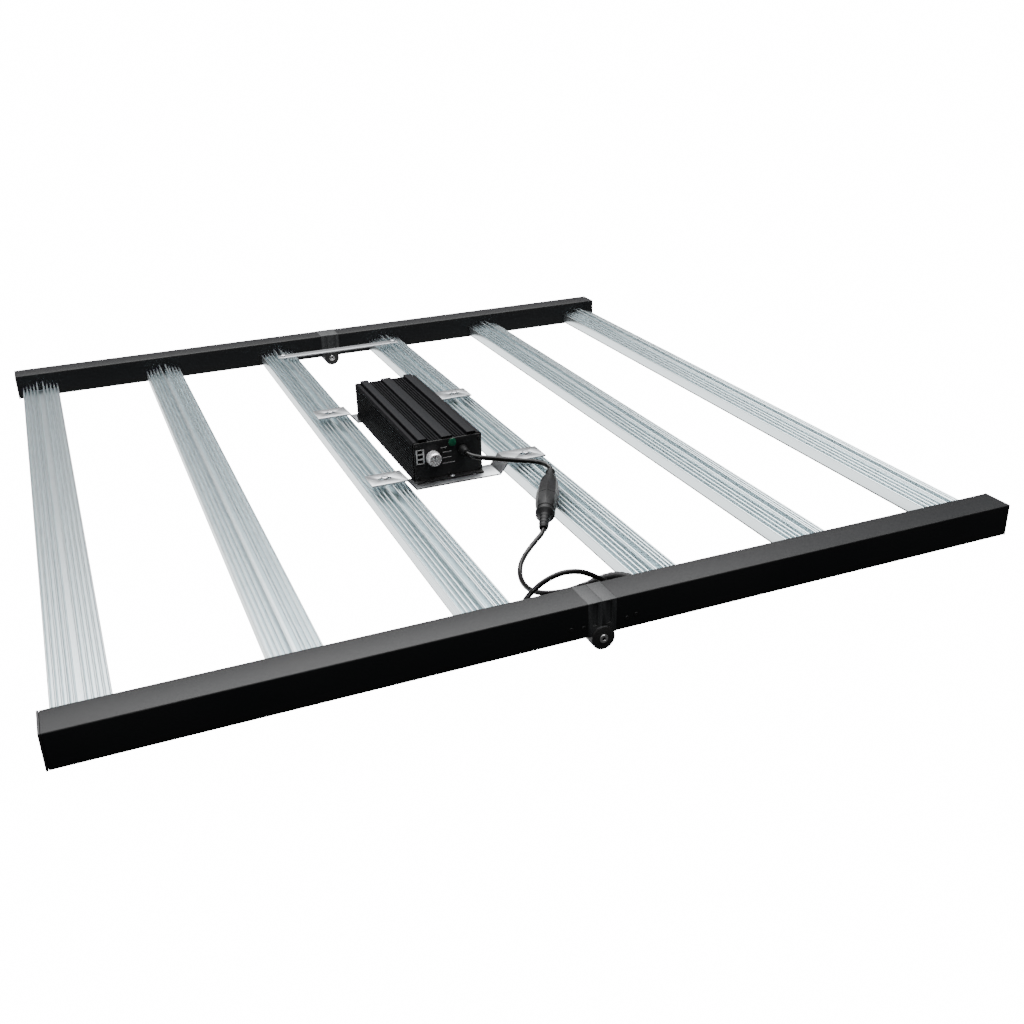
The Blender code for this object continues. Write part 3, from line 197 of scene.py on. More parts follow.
def dressed(mesh, name, materials, body, stands_for=(), crease=35):
    """Object for a finished mesh, with its finishes, its body and the nodes it stands for."""
    for material in materials if isinstance(materials, (list, tuple)) else [materials]:
        mesh.materials.append(material)
    mesh.shade_smooth()
    mesh.set_sharp_from_angle(angle=np.radians(crease))
    piece = bpy.data.objects.new(name, mesh)
    bpy.context.scene.collection.objects.link(piece)
    if body:
        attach(piece, body)
    if stands_for:
        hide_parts(*stands_for)
    return piece


def painted(mesh, paint):
    """Material number of each face, worked out from the face centres' x, y and z in millimetres."""
    if paint is not None:
        centres = np.zeros(3 * len(mesh.polygons), np.float32)
        mesh.polygons.foreach_get("center", centres)
        number = np.broadcast_to(paint(*centres.reshape(-1, 3).T / MM), len(mesh.polygons))
        mesh.polygons.foreach_set("material_index", number.astype(np.int32))


def build(name, shells, materials, body, stands_for=(), crease=35, paint=None):
    """Piece from one or more shells; paint maps face centres to material numbers."""
    points, faces = merged(shells)
    mesh = bpy.data.meshes.new(name)
    mesh.from_pydata(points, [], faces)
    bm = bmesh.new()
    bm.from_mesh(mesh)
    bmesh.ops.recalc_face_normals(bm, faces=bm.faces)
    bm.to_mesh(mesh)
    bm.free()
    painted(mesh, paint)
    return dressed(mesh, name, materials, body, stands_for, crease)


def softened(node, name, materials, width, steps=2, crease=40, paint=None):
    """A solid of the frame with its triangles merged to flat faces, and each long corner rounded off by width."""
    bm = bmesh.new()
    bm.from_mesh(NODES[node].data)
    bmesh.ops.remove_doubles(bm, verts=bm.verts, dist=1e-6)
    bmesh.ops.dissolve_limit(bm, angle_limit=0.005, verts=bm.verts, edges=bm.edges)
    edges = [e for e in bm.edges if len(e.link_faces) == 2 and e.calc_face_angle() > np.radians(CORNER)
             and e.calc_length() > LONG_EDGE * width * MM]
    bmesh.ops.bevel(bm, geom=edges, offset=width * MM, segments=steps, profile=0.5, affect="EDGES",
                    clamp_overlap=True)
    mesh = bpy.data.meshes.new(name)
    bm.to_mesh(mesh)
    bm.free()
    painted(mesh, paint)
    return dressed(mesh, name, materials, NODES[node]["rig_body"], [node], crease)


# %% [markdown]
# ## Finishes
# Every finish is one Principled shader with noise behind it. Noise is read in object coordinates, which are
# metres here, so a scale of 800 gives grains of about a millimetre. Stretching the coordinates along one
# axis turns grains into the fine lines that drawing and brushing leave in metal.

# %% Finish helper
def finish(name, dark, light, rough, metallic=0.0, grain=600.0, stretch=(1, 1, 1), bump=0.1, depth=0.0001,
           detail=4.0, patch=8.0, **sockets):
    """Colour drifts between dark and light with a broad noise, roughness between its two values with the
    grain, and the grain also lifts the surface by depth times bump."""
    material = bpy.data.materials.new(name)
    material.use_nodes = True
    nodes, links = material.node_tree.nodes, material.node_tree.links
    shader = nodes["Principled BSDF"]
    place = nodes.new("ShaderNodeTexCoord").outputs["Object"]
    mapping = nodes.new("ShaderNodeMapping")
    mapping.inputs["Scale"].default_value = stretch
    links.new(place, mapping.inputs["Vector"])

    def noise(scale, vector):
        node = nodes.new("ShaderNodeTexNoise")
        node.inputs["Scale"].default_value = scale
        node.inputs["Detail"].default_value = detail
        links.new(vector, node.inputs["Vector"])
        return node.outputs["Fac"]

    def spread(value, low, high, kind):
        node = nodes.new("ShaderNodeMapRange" if kind == "FLOAT" else "ShaderNodeMix")
        if kind == "FLOAT":
            node.inputs["From Min"].default_value = 0.3
            node.inputs["From Max"].default_value = 0.7
            node.inputs["To Min"].default_value = low
            node.inputs["To Max"].default_value = high
            links.new(value, node.inputs["Value"])
            return node.outputs["Result"]
        node.data_type = "RGBA"
        node.inputs["A"].default_value = (*low, 1)
        node.inputs["B"].default_value = (*high, 1)
        links.new(value, node.inputs["Factor"])
        return node.outputs["Result"]

    fine = noise(grain, mapping.outputs["Vector"])
    broad = spread(noise(patch, mapping.outputs["Vector"]), 0.0, 1.0, "FLOAT")
    links.new(spread(broad, dark, light, "RGBA"), shader.inputs["Base Color"])
    links.new(spread(fine, *rough, "FLOAT"), shader.inputs["Roughness"])
    relief = nodes.new("ShaderNodeBump")
    relief.inputs["Strength"].default_value = bump
    relief.inputs["Distance"].default_value = depth
    links.new(fine, relief.inputs["Height"])
    links.new(relief.outputs["Normal"], shader.inputs["Normal"])
    shader.inputs["Metallic"].default_value = metallic
    for socket, value in sockets.items():
        shader.inputs[socket.replace("_", " ")].default_value = value
    return material


# %% The light's finishes
POWDER_BLACK = finish("powder_black", (0.006, 0.0065, 0.0075), (0.009, 0.0092, 0.010), (0.36, 0.5), grain=1400,
                      bump=0.25, depth=0.00012, Specular_IOR_Level=0.22)
CAST_GREY = finish("cast_grey", (0.017, 0.018, 0.0195), (0.025, 0.0265, 0.028), (0.5, 0.68), grain=900, bump=0.35)
CAP_BLACK = finish("cap_black", (0.010, 0.010, 0.010), (0.014, 0.014, 0.014), (0.5, 0.62), grain=700, bump=0.15)
BAR_METAL = finish("bar_metal", (0.77, 0.85, 0.875), (0.81, 0.885, 0.91), (0.27, 0.31), metallic=1.0, grain=900,
                   stretch=(1, 0.0005, 1), bump=0.02)
EDGE_DARK = finish("edge_dark", (0.006, 0.006, 0.006), (0.009, 0.009, 0.0095), (0.6, 0.7), stretch=(1, 0.02, 1),
                   Specular_IOR_Level=0.02)
SHEET_METAL = finish("sheet_metal", (0.43, 0.445, 0.46), (0.5, 0.515, 0.53), (0.3, 0.42), metallic=1.0, grain=700,
                     stretch=(0.03, 1, 1), bump=0.15)
SCREW_STEEL = finish("screw_steel", (0.5, 0.51, 0.53), (0.62, 0.63, 0.65), (0.22, 0.34), metallic=1.0)
SCREW_BLACK = finish("screw_black", (0.012, 0.012, 0.013), (0.02, 0.02, 0.022), (0.3, 0.42), metallic=0.4)
PIN_BRIGHT = finish("pin_bright", (0.82, 0.82, 0.83), (0.9, 0.9, 0.9), (0.16, 0.26), metallic=1.0)
CASE_BLACK = finish("case_black", (0.003, 0.003, 0.0035), (0.005, 0.005, 0.0055), (0.45, 0.55), grain=900,
                    stretch=(1, 0.01, 1), bump=0.02, Specular_IOR_Level=0.01)
# The case's top finishes are painted lighter than its sides: painted sheen from the light above, and on the bands and
# the middle strip also their own grey.
CASE_TOP_SHEEN = finish("case_top_sheen", (0.004, 0.004, 0.005), (0.006, 0.006, 0.007), (0.45, 0.55), grain=900,
                  stretch=(1, 0.01, 1), bump=0.04, Specular_IOR_Level=0.06)
CASE_BAND_GREY_AND_SHEEN = finish("case_band_grey_and_sheen", (0.0045, 0.0047, 0.006), (0.0065, 0.0067, 0.0082), (0.42, 0.5), grain=900,
                   stretch=(1, 0.01, 1), bump=0.04, Specular_IOR_Level=0.08)
PLATE_BLACK = finish("plate_black", (0.006, 0.006, 0.0065), (0.009, 0.009, 0.0095), (0.45, 0.6), grain=1200,
                     bump=0.2, Specular_IOR_Level=0.3)
KNOB_METAL = finish("knob_metal", (0.9, 0.9, 0.91), (0.95, 0.95, 0.95), (0.2, 0.32), metallic=0.7)
PORT_GREY = finish("port_grey", (0.36, 0.37, 0.37), (0.44, 0.45, 0.45), (0.42, 0.55))
PORT_SHADE = finish("port_shade", (0.03, 0.03, 0.03), (0.045, 0.045, 0.045), (0.5, 0.6))
# Dark for the knob's pointer line, its own colour, and painted shade inside the hollow ends of the hinge rivets.
POINTER_DARK_AND_HOLE_SHADE = finish("pointer_dark_and_hole_shade", (0.006, 0.006, 0.006), (0.01, 0.01, 0.01), (0.5, 0.6))
LENS_GREEN = finish("lens_green", (0.004, 0.07, 0.035), (0.008, 0.10, 0.05), (0.08, 0.16), Coat_Weight=0.6)
MARK_GREY = finish("mark_grey", (0.3, 0.3, 0.3), (0.36, 0.36, 0.36), (0.5, 0.6))
LEAD_BLACK = finish("lead_black", (0.004, 0.004, 0.004), (0.006, 0.006, 0.006), (0.12, 0.2), grain=500, bump=0.1,
                    Specular_IOR_Level=0.22)
RUBBER_BLACK = finish("rubber_black", (0.005, 0.0053, 0.0057), (0.008, 0.0083, 0.009), (0.38, 0.52), grain=900,
                      bump=0.3, Specular_IOR_Level=0.2)
BOARD_WHITE = finish("board_white", (0.78, 0.79, 0.77), (0.84, 0.85, 0.83), (0.4, 0.5))
LED_BODY = finish("led_body", (0.84, 0.84, 0.8), (0.88, 0.88, 0.85), (0.3, 0.4))
LED_WARM = finish("led_warm", (0.85, 0.62, 0.12), (0.9, 0.7, 0.18), (0.25, 0.35))
LED_RED = finish("led_red", (0.45, 0.03, 0.02), (0.55, 0.05, 0.03), (0.25, 0.35))
CIRCUIT_GREEN = finish("circuit_green", (0.02, 0.11, 0.05), (0.03, 0.15, 0.07), (0.4, 0.55))
BRASS = finish("brass", (0.62, 0.46, 0.2), (0.72, 0.55, 0.26), (0.22, 0.34), metallic=1.0)
print(len(bpy.data.materials), "finishes")

# %% [markdown]
# ## The leads
# Each lead is a fixed length of round cable. Its route is a short list of given points, and a
# Catmull-Rom curve runs smoothly through them. A mesh tube is used, not a curve object, because two of the leads have
# to bend across the fold.

# %% Smooth lines and tubes
def smooth_line(points, per_span=10):
    """Between each pair of points, a cubic whose slope at either end is half the step between its neighbours."""
    p = np.asarray(points, float)
    p = np.vstack([2 * p[0] - p[1], p, 2 * p[-1] - p[-2]])
    t = np.linspace(0, 1, per_span, endpoint=False)[:, None]
    a, b, c, d = p[:-3, None], p[1:-2, None], p[2:-1, None], p[3:, None]
    line = 0.5 * (2 * b + (c - a) * t + (2 * a - 5 * b + 4 * c - d) * t**2 + (3 * b - a - 3 * c + d) * t**3)
    return np.vstack([line.reshape(-1, 3), p[-2]])


def tube(line, radius, sides=20):
    """Circles square to the line: across is level and upward completes the frame."""
    along = np.gradient(line, axis=0)
    along /= np.linalg.norm(along, axis=1, keepdims=True)
    across = np.cross(along, (0.0, 0.0, 1.0))
    across /= np.linalg.norm(across, axis=1, keepdims=True)
    upward = np.cross(across, along)
    angle = np.linspace(0, 2 * np.pi, sides, endpoint=False)[None, :, None]
    radius = np.broadcast_to(radius, len(line))[:, None, None]
    return skin(line[:, None] + radius * (np.cos(angle) * across[:, None] + np.sin(angle) * upward[:, None]))


def run_length(line):
    """Sum of the steps along the line."""
    return float(np.linalg.norm(np.diff(line, axis=0), axis=1).sum())


# %% Routes, in millimetres
DRIVER_LEAD_ROUTE = (
    (9.5, -159.5, 13.0), (9.5, -165.0, 13.0), (10.8, -171.2, 12.9), (14.6, -177.0, 12.5),
    (20.6, -181.4, 11.8), (28.5, -184.7, 11.0), (40.0, -188.8, 9.4), (52.0, -193.1, 7.6),
    (64.0, -197.4, 5.9), (76.0, -201.7, 4.3), (87.2, -206.0, 2.9), (95.9, -212.4, 1.7),
    (100.4, -221.0, 0.7), (100.9, -229.4, 0.0), (98.6, -236.6, -0.6), (97.16, -239.2, -0.87),
)
HARNESS_LEAD_ROUTE = (
    (27.84, -368.8, -14.43), (25.96, -372.3, -14.8), (20.5, -378.5, -16.0), (10.5, -386.0, -18.5),
    (-1.5, -395.5, -21.5), (-13.5, -407.0, -24.0), (-24.0, -420.5, -25.8), (-32.0, -436.0, -26.8),
    (-37.8, -453.0, -26.6), (-41.0, -471.0, -25.2), (-41.0, -488.0, -22.8), (-36.5, -502.5, -20.0),
    (-27.0, -512.5, -17.5), (-13.0, -516.6, -16.4), (0.0, -514.4, -17.0), (9.0, -510.9, -18.0),
    (15.5, -509.4, -18.3), (19.5, -509.05, -18.05),
)
JUMPER_LEAD_ROUTE = (
    (-66.0, -531.6, -21.0), (-66.0, -528.4, -21.0), (-64.6, -522.3, -19.8), (-60.9, -517.5, -16.7),
    (-55.6, -515.6, -12.4), (-49.8, -515.0, -8.0), (-42.8, -514.6, -3.4), (-34.0, -514.5, 0.8),
    (-24.0, -514.9, 4.2), (-13.5, -515.6, 5.8), (-3.0, -516.2, 5.0), (7.0, -516.4, 2.2),
    (16.0, -516.2, -2.4), (24.5, -515.8, -8.0), (32.6, -515.7, -13.4), (38.4, -517.4, -17.2),
    (42.5, -522.3, -20.0), (44.0, -528.4, -21.0), (44.0, -531.6, -21.0),
)
BOOT_ROUTE = (
    (20.0, -509.0, -18.0), (36.0, -507.5, -17.0), (51.0, -510.0, -16.1), (61.2, -519.0, -15.5),
    (65.0, -530.0, -15.5), (65.0, -541.0, -15.5),
)
INSIDE_CONNECTOR = ((93.3, -246.4, -1.62), (89.6, -253.3, -2.35))  # driver lead's end, in the socket half
DRIVER_LEAD_WIDTH = 7.0
HARNESS_LEAD_WIDTH = 6.0

# %% Make the three leads
def lead(name, route, width, body=None):
    """Tube of that width on the route, standing for the solid of the same name."""
    line = smooth_line(route)
    piece = build(f"{name}_cable", [tube(line, width / 2)], LEAD_BLACK, body, [name])
    print(name, "is", round(run_length(line)), "mm long")
    return piece, line


driver_lead, driver_line = lead("driver_lead", DRIVER_LEAD_ROUTE + INSIDE_CONNECTOR, DRIVER_LEAD_WIDTH, LEFT)
harness_lead, harness_line = lead("harness_lead", HARNESS_LEAD_ROUTE, HARNESS_LEAD_WIDTH)
jumper_lead, jumper_line = lead("jumper_lead", JUMPER_LEAD_ROUTE, HARNESS_LEAD_WIDTH)
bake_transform(harness_lead)
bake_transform(jumper_lead)

# %% [markdown]
# The driver's lead ends in an in-line connector: a socket half and a plug half, each with a ribbed sleeve and
# a swelling body. Both are circles along one straight axis, so the same tube helper makes them from a list
# of (distance along the axis, radius). Flat facets round the widest part give fingers a grip.

# %% In-line connector
CONNECTOR_TOP = np.array([97.0, -239.5, -0.9])
CONNECTOR_END = np.array([28.0, -368.5, -14.4])
FACETS = 8
SOCKET_BODY = ((18.2, 8.2), (22, 9.5), (26.4, 10.5), (29, 10.6), (29.4, 10.9), (31, 11.6), (38, 12.5), (45, 13.3),
               (50, 13.9), (56, 14.3), (57, 14.3), (58, 14.6), (72.7, 14.6), (73.2, 14.2))
PLUG_BODY = ((73.6, 14.2), (74.2, 14.6), (79, 14.5), (87, 14.1), (95, 13.1), (103, 11.8), (104, 10.8), (106.2, 10.3),
             (107, 11.8), (108, 12.4), (113, 12.0), (114, 11.2), (116.4, 8.2), (117.4, 7.6))


def sleeve(start, stop, near, far, count, depth):
    """Rings of a tapered sleeve: a rounded rib and a groove, count times, between the two distances."""
    pitch = (stop - start) / count
    share = np.array([0.03, 0.12, 0.3, 0.48, 0.6, 0.68, 0.92, 0.99])
    height = np.array([-0.5, -0.1, 0.0, -0.1, -0.6, -1.0, -1.0, -0.8])
    place = (start + pitch * (np.arange(count)[:, None] + share)).ravel()
    radius = near + (far - near) * (place - start) / (stop - start) + depth * np.tile(height, count)
    return np.stack([place, radius], 1)


def along_connector(rings, facet):
    """Circles on the connector's axis; where facet is above 0 the circle is cut to flats, that share deep."""
    place, radius = np.asarray(rings, float).T
    axis = (CONNECTOR_END - CONNECTOR_TOP) / np.linalg.norm(CONNECTOR_END - CONNECTOR_TOP)
    points, faces = tube(CONNECTOR_TOP + place[:, None] * axis, radius, sides=48)
    centre = (CONNECTOR_TOP + place[:, None] * axis)[:, None] * MM
    angle = np.linspace(0, 2 * np.pi, 48, endpoint=False)
    flat = np.cos(np.pi / FACETS) / np.cos((angle % (2 * np.pi / FACETS)) - np.pi / FACETS)
    amount = facet(place)[:, None]
    scale = 1 + amount * (flat[None, :] - 1)
    return (centre + (points.reshape(len(place), 48, 3) - centre) * scale[..., None]).reshape(-1, 3), faces


def grip(place):
    """Share of the facets: none on the sleeves, full between the shoulders."""
    return np.clip(np.minimum(place - 29, 104 - place) / 14, 0, 1)


socket_rings = np.vstack([sleeve(0.2, 18, 6.2, 7.4, 3, 0.9), SOCKET_BODY])
plug_rings = np.vstack([PLUG_BODY, sleeve(118, 146.6, 7.4, 5.6, 4, 0.9)])
lead_socket = build("lead_socket_moulding", [along_connector(socket_rings, grip)], RUBBER_BLACK, LEFT,
                    ["lead_socket"], crease=24)
lead_plug = build("lead_plug_moulding", [along_connector(plug_rings, grip)], RUBBER_BLACK, LEFT,
                  ["lead_plug"], crease=24)
print("connector axis", np.round(np.linalg.norm(CONNECTOR_END - CONNECTOR_TOP), 1), "mm")

# %% [markdown]
# Where a lead goes into a rail, rubber keeps the metal's edge from cutting it. The jumper lead has a short
# grommet at both ends, and the harness lead has a long ribbed boot that bends with it.

# %% Rubber where leads enter the rails
GROMMETS = {"left": (-66.0, LEFT), "right": (44.0, RIGHT)}
JUMPER_HEIGHT = -21.0
BOOT_HOLE = (65.0, -15.5)
BOOT_TIP, BOOT_SWELL = 3.7, 1.5                # radius at the tip, and how much it grows towards the root
BOOT_GROOVES, BOOT_GROOVE_DEPTH = 11, 0.35
FLANGE = ((-543.4, 5.0), (-539.7, 5.0), (-539.7, 6.2), (-539.4, 6.5), (-537.9, 6.5), (-537.5, 6.2))
CUFF = ((-537.1, 5.2), (-535.6, 4.8), (-532.6, 4.3), (-532.1, 4.1), (-532.0, 3.2))
for name, (x, body) in GROMMETS.items():
    build(f"jumper_grommet_rubber_{name}", [lathe(FLANGE + CUFF, "Y", (x, JUMPER_HEIGHT))], RUBBER_BLACK, body,
          [f"jumper_grommet_{name}"])

boot_line = smooth_line(BOOT_ROUTE, 16)
share = np.linspace(0, 1, len(boot_line))
grooves = np.clip(6 * np.sin(2 * np.pi * BOOT_GROOVES * share), 0, 1)
boot_radius = BOOT_TIP + BOOT_SWELL * np.minimum(1, share * 3) - BOOT_GROOVE_DEPTH * grooves
boot = [tube(boot_line, boot_radius, 28), lathe(FLANGE, "Y", BOOT_HOLE)]
build("harness_boot_rubber", boot, RUBBER_BLACK, RIGHT, ["harness_boot"])
print("boot", round(run_length(boot_line)), "mm long")


# %% [markdown]
# ## Rails
# Each half rail is a length of square tube. Drawn tube has a small radius along its corners, and that radius is
# what catches the light as a thin bright line. The section is four corners with an arc put on each.

# %% Rails and end caps
ROWS = {"front": -1, "back": 1}
SIDES = {"left": (-1, LEFT), "right": (1, RIGHT)}
RAIL_Y = 560.0
RAIL_HALF = 20.0
RAIL_START, RAIL_END = 16.65, 547.2
RAIL_EDGE = 1.5


def square_section(y):
    """Corners of the tube's section, rail top at height 0, rounded."""
    near, far, bottom = y - RAIL_HALF, y + RAIL_HALF, -2 * RAIL_HALF
    return rounded([(near, bottom), (far, bottom), (far, 0), (near, 0)], RAIL_EDGE, 5)


for row, towards in ROWS.items():
    for side, (sign, body) in SIDES.items():
        ends = sorted((sign * RAIL_START, sign * RAIL_END))
        build(f"rail_tube_{row}_{side}", [extruded(square_section(towards * RAIL_Y), "X", *ends)], POWDER_BLACK,
              body, [f"rail_{row}_{side}"])
        softened(f"end_cap_{row}_{side}", f"rail_cap_{row}_{side}", CAP_BLACK, 1.0, steps=3)
print("rails", RAIL_END - RAIL_START, "mm a half")

# %% [markdown]
# ## Fold hinges
# The two halves of a rail meet at a pair of cast collars, and each pair turns on one pin through round
# knuckles below. The solids already have the right outline, so each is copied and its corners are rounded.
# The knuckles are darker than the collars, and their faces are told apart by height alone.

# %% Collars, knuckles and pins
KNUCKLE_TOP = -31.0
PIN_HEIGHT = -43.0
PIN_END = 24.7
PIN_ENTRY = ((-PIN_END + 2.6, 1.9), (-PIN_END + 0.3, 1.9), (-PIN_END, 2.2), (-PIN_END, 4.4), (-PIN_END + 0.15, 4.7),
             (-PIN_END + 0.5, 4.95), (-PIN_END + 1.38, 5.0), (-PIN_END + 1.4, 4.0))
pin_rings = PIN_ENTRY + tuple((-place, radius) for place, radius in PIN_ENTRY[::-1])
for row, towards in ROWS.items():
    for side in SIDES:
        softened(f"hinge_leaf_{row}_{side}", f"hinge_collar_{row}_{side}", [CAST_GREY, CAP_BLACK], 0.7,
                 paint=lambda x, y, z: z < KNUCKLE_TOP)
    middle = towards * RAIL_Y
    rings = [(middle + place, radius) for place, radius in pin_rings]
    # The hole at each rivet end is painted dark: painted shade.
    build(f"hinge_rivet_{row}", [lathe(rings, "Y", (0, PIN_HEIGHT), 40)], [PIN_BRIGHT, POINTER_DARK_AND_HOLE_SHADE], LEFT,
          [f"hinge_pin_{row}"], paint=lambda x, y, z: np.hypot(x, z - PIN_HEIGHT) < 2.0)

# %% [markdown]
# The leaves go into the tubes and small dark screws hold them there, two on each side of the fold line. A
# screw is a lathe shape whose last rings turn six-sided, so the key hole is part of the same skin.

# %% Screws
def screw(axis, centre, seat, outward, radius, height):
    """Pan head from its seat outwards, then down into a six-sided hole. Amount 1 makes a ring a full hexagon."""
    steps = np.array([0, 0.5, 0.72, 0.88, 0.97, 1, 1, 0.94, 0.4])
    radii = np.array([1, 1, 0.95, 0.84, 0.7, 0.58, 0.46, 0.42, 0.40])
    amount = np.array([0, 0, 0, 0, 0, 0, 0.6, 1, 1])
    return lathe(list(zip(seat + outward * steps * height, radii * radius, amount)), axis, centre, 36, hexagon)


SUNK = 0.2                                     # how far a head's seat lies under the face it is on
LEAF_SCREWS = {"left": ((-36.0, -25.5), (-21.5, -27.0)), "right": ((29.0, -27.0), (40.0, -25.0))}
for row, towards in ROWS.items():
    for side, (sign, body) in SIDES.items():
        seat = towards * (RAIL_Y + RAIL_HALF - SUNK)
        heads = [screw("Y", place, seat, towards, 2.5, 1.0) for place in LEAF_SCREWS[side]]
        build(f"hinge_leaf_screws_{row}_{side}", heads, SCREW_BLACK, body)
print("leaf screws", 2 * len(ROWS) * len(SIDES))

# %% [markdown]
# ## Heat sinks
# A bar is an aluminium extrusion: one section pushed through a die, the same all along. Its base holds the LED board
# between two skirts, and ten fins rise from it, the two middle ones highest. So the piece is one outline and a
# straight run. Half the outline is listed and the other half is its mirror image. The tips and the roots of the fins
# are rounded, as a die leaves them, and a thin dark strip is painted low on both outer sides of the base.

# %% Section of a bar
BAR_X = np.array([-512.5, -307.5, -102.5, 102.5, 307.5, 512.5])
BAR_HALF = 28.4
BAR_BOTTOM, BASE_BOTTOM, BASE_TOP, BAR_TOP = -37.7, -34.7, -27.7, -12.0
FIN_PLACES = np.array([27.3, 21.7, 16.1, 10.5, 4.9])
FIN_HALF = 1.1
DARK_STRIP_TOP = -35.3


def bar_section():
    """Right half from the board's recess round the skirt and over the fins, then the same points at minus x.
    An outer fin's height follows an arch: rise times 1 minus (its place over half the width) squared."""
    top = np.where(FIN_PLACES < 6, BAR_TOP, BAR_BOTTOM + 17.2 + 4.0 * (1 - (FIN_PLACES / BAR_HALF) ** 2))
    across = np.stack([FIN_PLACES + FIN_HALF] * 2 + [FIN_PLACES - FIN_HALF] * 2, 1)
    height = np.stack([top * 0 + BASE_TOP, top, top, top * 0 + BASE_TOP], 1)
    fins = np.stack([across, height], -1).reshape(-1, 2)[1:]
    skirt = [(24.0, BASE_BOTTOM), (24.0, BAR_BOTTOM), (28.0, BAR_BOTTOM), (28.0, DARK_STRIP_TOP), (28.4, DARK_STRIP_TOP)]
    half = np.vstack([skirt, fins])
    radius = np.concatenate([[0.3, 0.3, 0.4, 0.1, 0.15], np.tile([0.6, 0.95, 0.95, 0.6], 5)[1:]])
    mirrored = half[::-1] * (-1, 1)
    return rounded(np.vstack([half, mirrored]), np.concatenate([radius, radius[::-1]]), 3)


section = bar_section()
print("bar section", len(section), "points", np.round(np.ptp(section, axis=0), 1), "mm")

# %% Six heat sinks
FIN_END = 539.7
TONGUE_END = 564.0


def bar_body(number):
    """The three bars left of the fold line ride on the left half."""
    return LEFT if BAR_X[number] < 0 else RIGHT


for number, x in enumerate(BAR_X):
    shells = [extruded(section + (x, 0), "Y", -FIN_END, FIN_END)]
    for towards in ROWS.values():
        near, far = sorted((towards * (FIN_END - 0.4), towards * TONGUE_END))
        shells.append(block((x - 26, near, BASE_BOTTOM + 0.2), (x + 26, far, BASE_TOP - 0.2)))
    # The faces low on both outer sides of the base take the dark finish, a thin dark strip.
    build(f"bar_extrusion_{number + 1}", shells, [BAR_METAL, EDGE_DARK], bar_body(number),
          [f"heat_sink_{number + 1}"], crease=50,
          paint=lambda px, py, pz: (np.abs(np.abs(px - x) - 28.0) < 0.25) & (pz < DARK_STRIP_TOP + 0.1))

# %% [markdown]
# ## LED boards
# Under each bar is a long white board with three rows of small square packages. Each package is a shallow
# open box of white plastic with phosphor in it, and a few give deep red light. One package of 26 faces is worked out
# once and its points are added to every place on the board in a single array sum.

# %% Packages on a board
BOARD_HALF, BOARD_END = 20.0, 536.0
BOARD_TOP, BOARD_FACE = -35.0, -36.6
LED_ROWS = np.array([-12.0, 0.0, 12.0])
LED_PITCH = 10.6
LED_COUNT = 99
RED_EVERY = 7


def package():
    """Four rings: where it stands on the board, its outer rim, its inner rim and the edge of the pool of phosphor."""
    body = rounded([(-1.4, -1.75), (1.4, -1.75), (1.4, 1.75), (-1.4, 1.75)], 0.3, 1)
    scale = np.array([1.0, 0.98, 0.78, 0.7])[:, None]
    height = np.array([BOARD_FACE + 0.05, BOARD_FACE - 0.75, BOARD_FACE - 0.75, BOARD_FACE - 0.6])[:, None]
    return skin(on_axis("Z", body[None, :, 0] * scale, body[None, :, 1] * scale, height))


led_points, led_faces = package()
run = (np.arange(LED_COUNT) - (LED_COUNT - 1) / 2) * LED_PITCH
across, lengthways = (grid.ravel() for grid in np.meshgrid(LED_ROWS, run))
kind = np.where(np.arange(len(across)) % RED_EVERY == 3, 2, 1)
print(len(across), "packages a board,", len(led_faces), "faces each")

# %% Six boards
for number, x in enumerate(BAR_X):
    board = block((x - BOARD_HALF, -BOARD_END, BOARD_FACE), (x + BOARD_HALF, BOARD_END, BOARD_TOP))
    build(f"led_strip_{number + 1}", [board], BOARD_WHITE, bar_body(number), [f"led_board_{number + 1}"])
    places = np.stack([x + across, lengthways, 0 * across], 1)[:, None] * MM
    points = (led_points + places).reshape(-1, 3)
    starts = (np.arange(len(across)) * len(led_points))[:, None, None]
    sides = (np.array(led_faces[:-2]) + starts).reshape(-1, 4).tolist()
    pools = (np.array([led_faces[-1]]) + starts).reshape(len(across), -1).tolist()
    mesh = bpy.data.meshes.new(f"led_packages_{number + 1}")
    mesh.from_pydata(points, [], sides + pools)
    numbers = np.concatenate([np.zeros(len(sides), np.int32), kind.astype(np.int32)])
    mesh.polygons.foreach_set("material_index", numbers)
    bm = bmesh.new()
    bm.from_mesh(mesh)
    bmesh.ops.holes_fill(bm, edges=[e for e in bm.edges if e.is_boundary])
    bmesh.ops.recalc_face_normals(bm, faces=bm.faces)
    bm.to_mesh(mesh)
    bm.free()
    dressed(mesh, f"led_packages_{number + 1}", [LED_BODY, LED_WARM, LED_RED], bar_body(number))

# %% [markdown]
# ## Brackets and fold strap
# Two bent strips hang the driver between the middle bars, and a third, flat one locks the fold. They are cut and
# bent from sheet, so their solids only need a fine rounding where the cutter left a burr.

# %% Sheet metal and its screws
MIDDLE_BAR = 102.5
TAB_TOP = -9.7
BRACKET_Y = 144.0
STRAP_Y = 477.0
FOOT_SCREW_Y = 147.2
SHANK_TIPS = {"left": -16.7, "right": -12.7}
for node in ("driver_bracket_front", "driver_bracket_back", "fold_strap"):
    softened(node, f"{node}_sheet", SHEET_METAL, 0.3)
CROSSINGS = {"front_bracket": -BRACKET_Y, "back_bracket": BRACKET_Y, "strap": STRAP_Y}
for crossing, y in CROSSINGS.items():
    for side, (sign, _) in SIDES.items():
        x = sign * MIDDLE_BAR
        head = screw("Z", (x, y), TAB_TOP + 0.3, 1, 4.8, 2.6)
        tip = SHANK_TIPS[side]
        shank = lathe(((tip, 1.8), (tip + 1.2, 2.4), (-9.35, 2.4)), "Z", (x, y), 24)
        build(f"{crossing}_bolt_{side}", [head, shank], SCREW_STEEL, LEFT, [f"{crossing}_screw_{side}"])

# %% [markdown]
# ## Driver
# The driver is a box of black extruded aluminium with end plates. Its top has two raised bands, fine ribs and a
# middle strip, and its sides have many small steps, which shed heat and show as a toothed edge at the corner.

